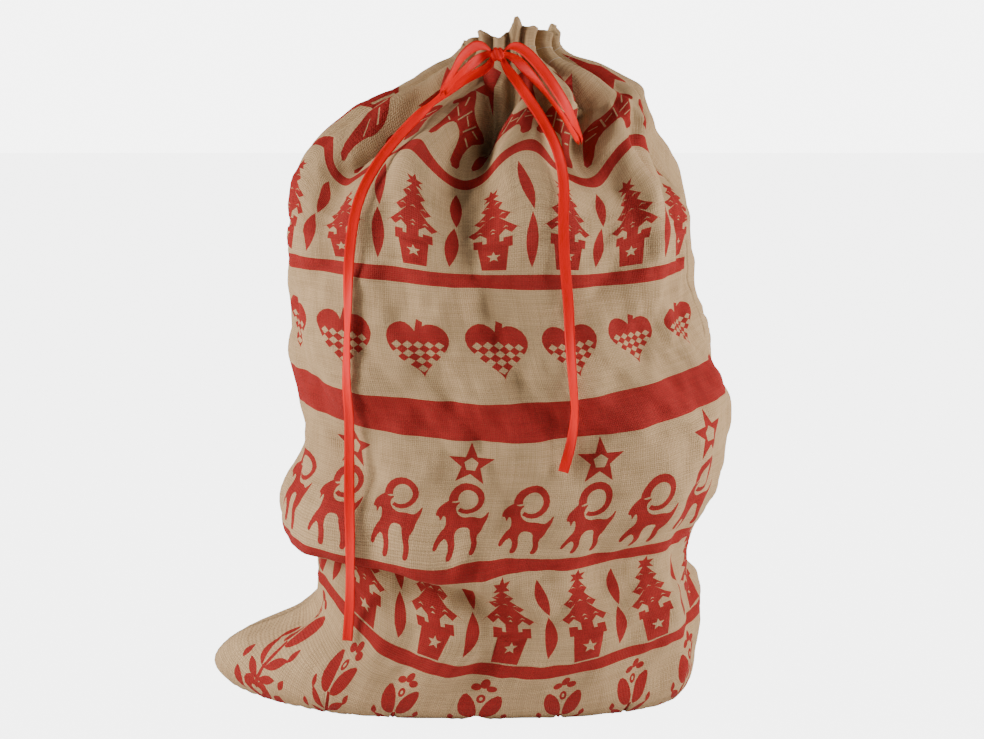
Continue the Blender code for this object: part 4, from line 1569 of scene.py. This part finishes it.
@dataclass
class Inside:
    """Pieces inside the sack: the seams' turned edges, the ribbon in its channel, and the stitching."""

    form: SackForm
    cloths: Cloths
    allowance: float = 0.010
    seam_thickness: float = 0.0018
    ribbon_low: float = 0.6935
    ribbon_high: float = 0.7035
    ribbon_depth: float = 0.0015
    ribbon_thickness: float = 0.0004
    stitch_rows = {"lower": 0.6905, "upper": 0.7060}
    stitch_length: float = 0.0032

    def side_seam(self, name: str, across: float) -> bpy.types.Object:
        """The turned edges of one side seam, standing 10 mm inwards and waving a little."""
        along = np.linspace(0.004, self.form.flat.neck - 0.004, 120)
        outer = self.form.at(Side.FRONT, np.full_like(along, across), along)
        outer = (outer + self.form.at(Side.BACK, np.full_like(along, across), along)) / 2
        outer[:, 2] = np.maximum(outer[:, 2], 0.0022)
        centre = np.stack([np.interp(outer[:, 2], [0.0, 0.3, 0.58], [0.02, 0.03, 0.043]), 0 * along,
                           outer[:, 2] + 0.004], axis=-1)
        inwards = unit(centre - outer)
        wave = 0.0012 * np.sin(along * 90.0)[:, None] * np.array([0.0, 1.0, 0.0])
        shares = np.linspace(0, 1, 5)
        grid = np.stack([outer + inwards * (0.0012 + 0.0095 * share) + wave * share for share in shares], axis=1)
        uv = np.stack(np.broadcast_arrays(shares[None] * self.allowance, along[:, None]), axis=-1)
        made = strip(name, grid, uv, self.cloths.seam, self.seam_thickness)
        return belongs(made, "sack", name)

    def bottom_seam(self) -> bpy.types.Object:
        """The turned edges of the seam under the base, standing up inside."""
        across = np.linspace(0.05, 0.95, 90)
        line = self.form.at(Side.FRONT, across, np.full_like(across, 0.0))
        lift = np.linspace(0.0012, 0.0100, 5)
        lean = 0.001 * np.sin(across * 60.0)
        grid = np.stack([line + np.stack([0 * lean, lean * h * 100, np.full_like(lean, h)], -1) for h in lift], axis=1)
        uv = np.stack(np.broadcast_arrays(lift[None], across[:, None] * 0.5), axis=-1)
        made = strip("bottom_seam", grid, uv, self.cloths.seam, self.seam_thickness)
        return belongs(made, "sack", "bottom_seam")

    def drawstring(self, side: Side) -> bpy.types.Object:
        """The ribbon inside the channel on one half, which follows the outer cloth at an even depth."""
        name = f"{side.name.lower()}_drawstring"
        across = np.linspace(0.012, 0.988, 240)
        rows, flats = [], []
        for along in np.linspace(self.ribbon_low, self.ribbon_high, 5):
            outer, normal = self.form.wall(side, across, along)
            rows.append(outer - normal * self.ribbon_depth)
            height = np.full_like(across, along - self.ribbon_low)
            flats.append(np.stack([across * self.form.flat.width, height], axis=-1))
        made = strip(name, np.stack(rows, axis=1), np.stack(flats, axis=1), self.cloths.satin, self.ribbon_thickness)
        return belongs(made, f"{side.name.lower()}_mouth", name)

    def stitching(self, side: Side, level: str) -> bpy.types.Object:
        """A row of stitches: a thread whose radius swells at each stitch and sinks between them."""
        name = f"{side.name.lower()}_{level}_stitching"
        across = np.linspace(0.010, 0.990, 1400)
        outer, normal = self.form.wall(side, across, self.stitch_rows[level])
        stitch = np.abs(np.sin(np.pi * across * self.form.flat.width / self.stitch_length))
        radius = 0.00012 + 0.00026 * stitch**0.5
        centre = outer + normal * (0.0003 * stitch - 0.0002)[:, None]
        up = unit(np.cross(normal, unit(np.gradient(centre, axis=0))))
        turn = np.linspace(0, 2 * np.pi, 6, endpoint=False)
        grid = np.stack([centre + (normal * math.cos(t) + up * math.sin(t)) * radius[:, None] for t in turn], axis=1)
        sides = grid_faces(len(across), len(turn), True)
        start = np.arange(len(turn))[::-1]
        end = start[::-1] + (len(across) - 1) * len(turn)
        faces = [*sides.tolist(), start.tolist(), end.tolist()]
        if side is Side.BACK:
            faces = [face[::-1] for face in faces]
        made = mesh_object(name, grid.reshape(-1, 3), faces, [self.cloths.thread])
        neck_blend(made)
        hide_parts(name)
        return made

    def build(self) -> list[bpy.types.Object]:
        """Every piece inside the sack."""
        made = [self.side_seam("left_side_seam", 0.0), self.side_seam("right_side_seam", 1.0), self.bottom_seam()]
        for side in Side:
            made.append(self.drawstring(side))
            made += [self.stitching(side, level) for level in self.stitch_rows]
        return made


# ---------------------------------------------------------------- the studio


@dataclass
class Studio:
    """Pale floor and world, softboxes at both sides, and the camera."""

    eye: tuple[float, float, float] = (0.0243, -1.851, 0.730)
    target: tuple[float, float, float] = (0.0243, 0.0, 0.303)
    lens: float = 77.0
    ambient: float = 0.13
    backdrop: float = 6.0
    whitening: float = 0.85

    def softbox(self, name: str, place: tuple, aim: tuple, size: tuple[float, float], power: float) -> None:
        """An area light that looks at a point."""
        lamp = bpy.data.lights.new(name, "AREA")
        lamp.shape = "RECTANGLE"
        lamp.size, lamp.size_y = size
        lamp.energy = power
        made = bpy.data.objects.new(name, lamp)
        made.location = place
        made.rotation_euler = (Vector(aim) - Vector(place)).to_track_quat("-Z", "Y").to_euler()
        bpy.context.scene.collection.objects.link(made)

    def build(self) -> None:
        """Makes the floor, world, lights and camera."""
        graph = Graph("floor", Roughness=0.9, Base_Color=(0.92, 0.92, 0.92, 1.0))
        sight = Signal(graph, graph.node("ShaderNodeLightPath").outputs["Is Camera Ray"])
        glow = graph.node("ShaderNodeEmission", {}, {"Strength": self.backdrop})
        seen = graph.node("ShaderNodeMixShader", {}, {0: sight * self.whitening, 1: graph.shader.outputs[0],
                                                      2: glow.outputs[0]})
        graph.feed(graph.tree.nodes["Material Output"].inputs["Surface"], seen.outputs[0])
        floor = mesh_object("floor", np.array([(-4, -4, 0), (4, -4, 0), (4, 4, 0), (-4, 4, 0)], float) +
                            np.array([0, 0, -0.0004]), np.array([[0, 1, 2, 3]]), [graph.material])
        world = bpy.data.worlds.new("studio")
        world.use_nodes = True
        world.node_tree.nodes["Background"].inputs["Color"].default_value = (1.0, 1.0, 1.0, 1.0)
        sight = world.node_tree.nodes.new("ShaderNodeLightPath")
        level = world.node_tree.nodes.new("ShaderNodeMapRange")
        level.inputs["To Min"].default_value = self.ambient
        level.inputs["To Max"].default_value = self.backdrop
        world.node_tree.links.new(sight.outputs["Is Camera Ray"], level.inputs["Value"])
        world.node_tree.links.new(level.outputs["Result"], world.node_tree.nodes["Background"].inputs["Strength"])
        bpy.context.scene.world = world
        self.softbox("left_softbox", (-1.5, -0.45, 0.8), (0.0, 0.0, 0.3), (0.6, 1.1), 52.0)
        self.softbox("right_softbox", (1.5, -0.35, 0.8), (0.0, 0.0, 0.3), (0.6, 1.1), 45.0)
        self.softbox("front_fill", (0.0, -1.6, 1.6), (0.0, 0.0, 0.3), (1.0, 0.6), 2.5)
        lens = bpy.data.cameras.new("camera")
        lens.lens = self.lens
        lens.sensor_width = 36.0
        camera = bpy.data.objects.new("camera", lens)
        camera.location = self.eye
        camera.rotation_euler = (Vector(self.target) - Vector(self.eye)).to_track_quat("-Z", "Y").to_euler()
        bpy.context.scene.collection.objects.link(camera)
        bpy.context.scene.camera = camera


# ---------------------------------------------------------------- all of it


def main() -> None:
    """Builds every piece in order."""
    hessian = HessianFinish()
    cloths = Cloths(
        bare=hessian.build("hessian"),
        inked=hessian.build("printed_hessian", printed=True),
        # The inside and seam cloths are the same hessian, darkened as painted shade where less light reaches inside the
        # sack.
        inside=hessian.build("hessian_inside", shade=0.85),
        seam=hessian.build("seam_cloth", shade=0.75),
        thread=ThreadFinish().build("thread"),
        satin=SatinFinish().build("satin_ribbon", Ribbon.width),
    )
    Studio().build()
    log.info("studio ready")
    form = SackForm()
    ClothSettling(form).run()
    log.info("form ready")
    for piece in Bow(form, cloths).build():
        log.info("bow: %s", piece.name)
    front = ClothHalf(form, Side.FRONT, cloths).build(Pattern(), "front_cloth")
    log.info("front cloth: %d faces", len(front.data.polygons))
    back = ClothHalf(form, Side.BACK, cloths).build(None, "back_cloth")
    log.info("back cloth: %d faces", len(back.data.polygons))
    for piece in Inside(form, cloths).build():
        log.info("inside: %s", piece.name)


if __name__ == "__main__":
    main()
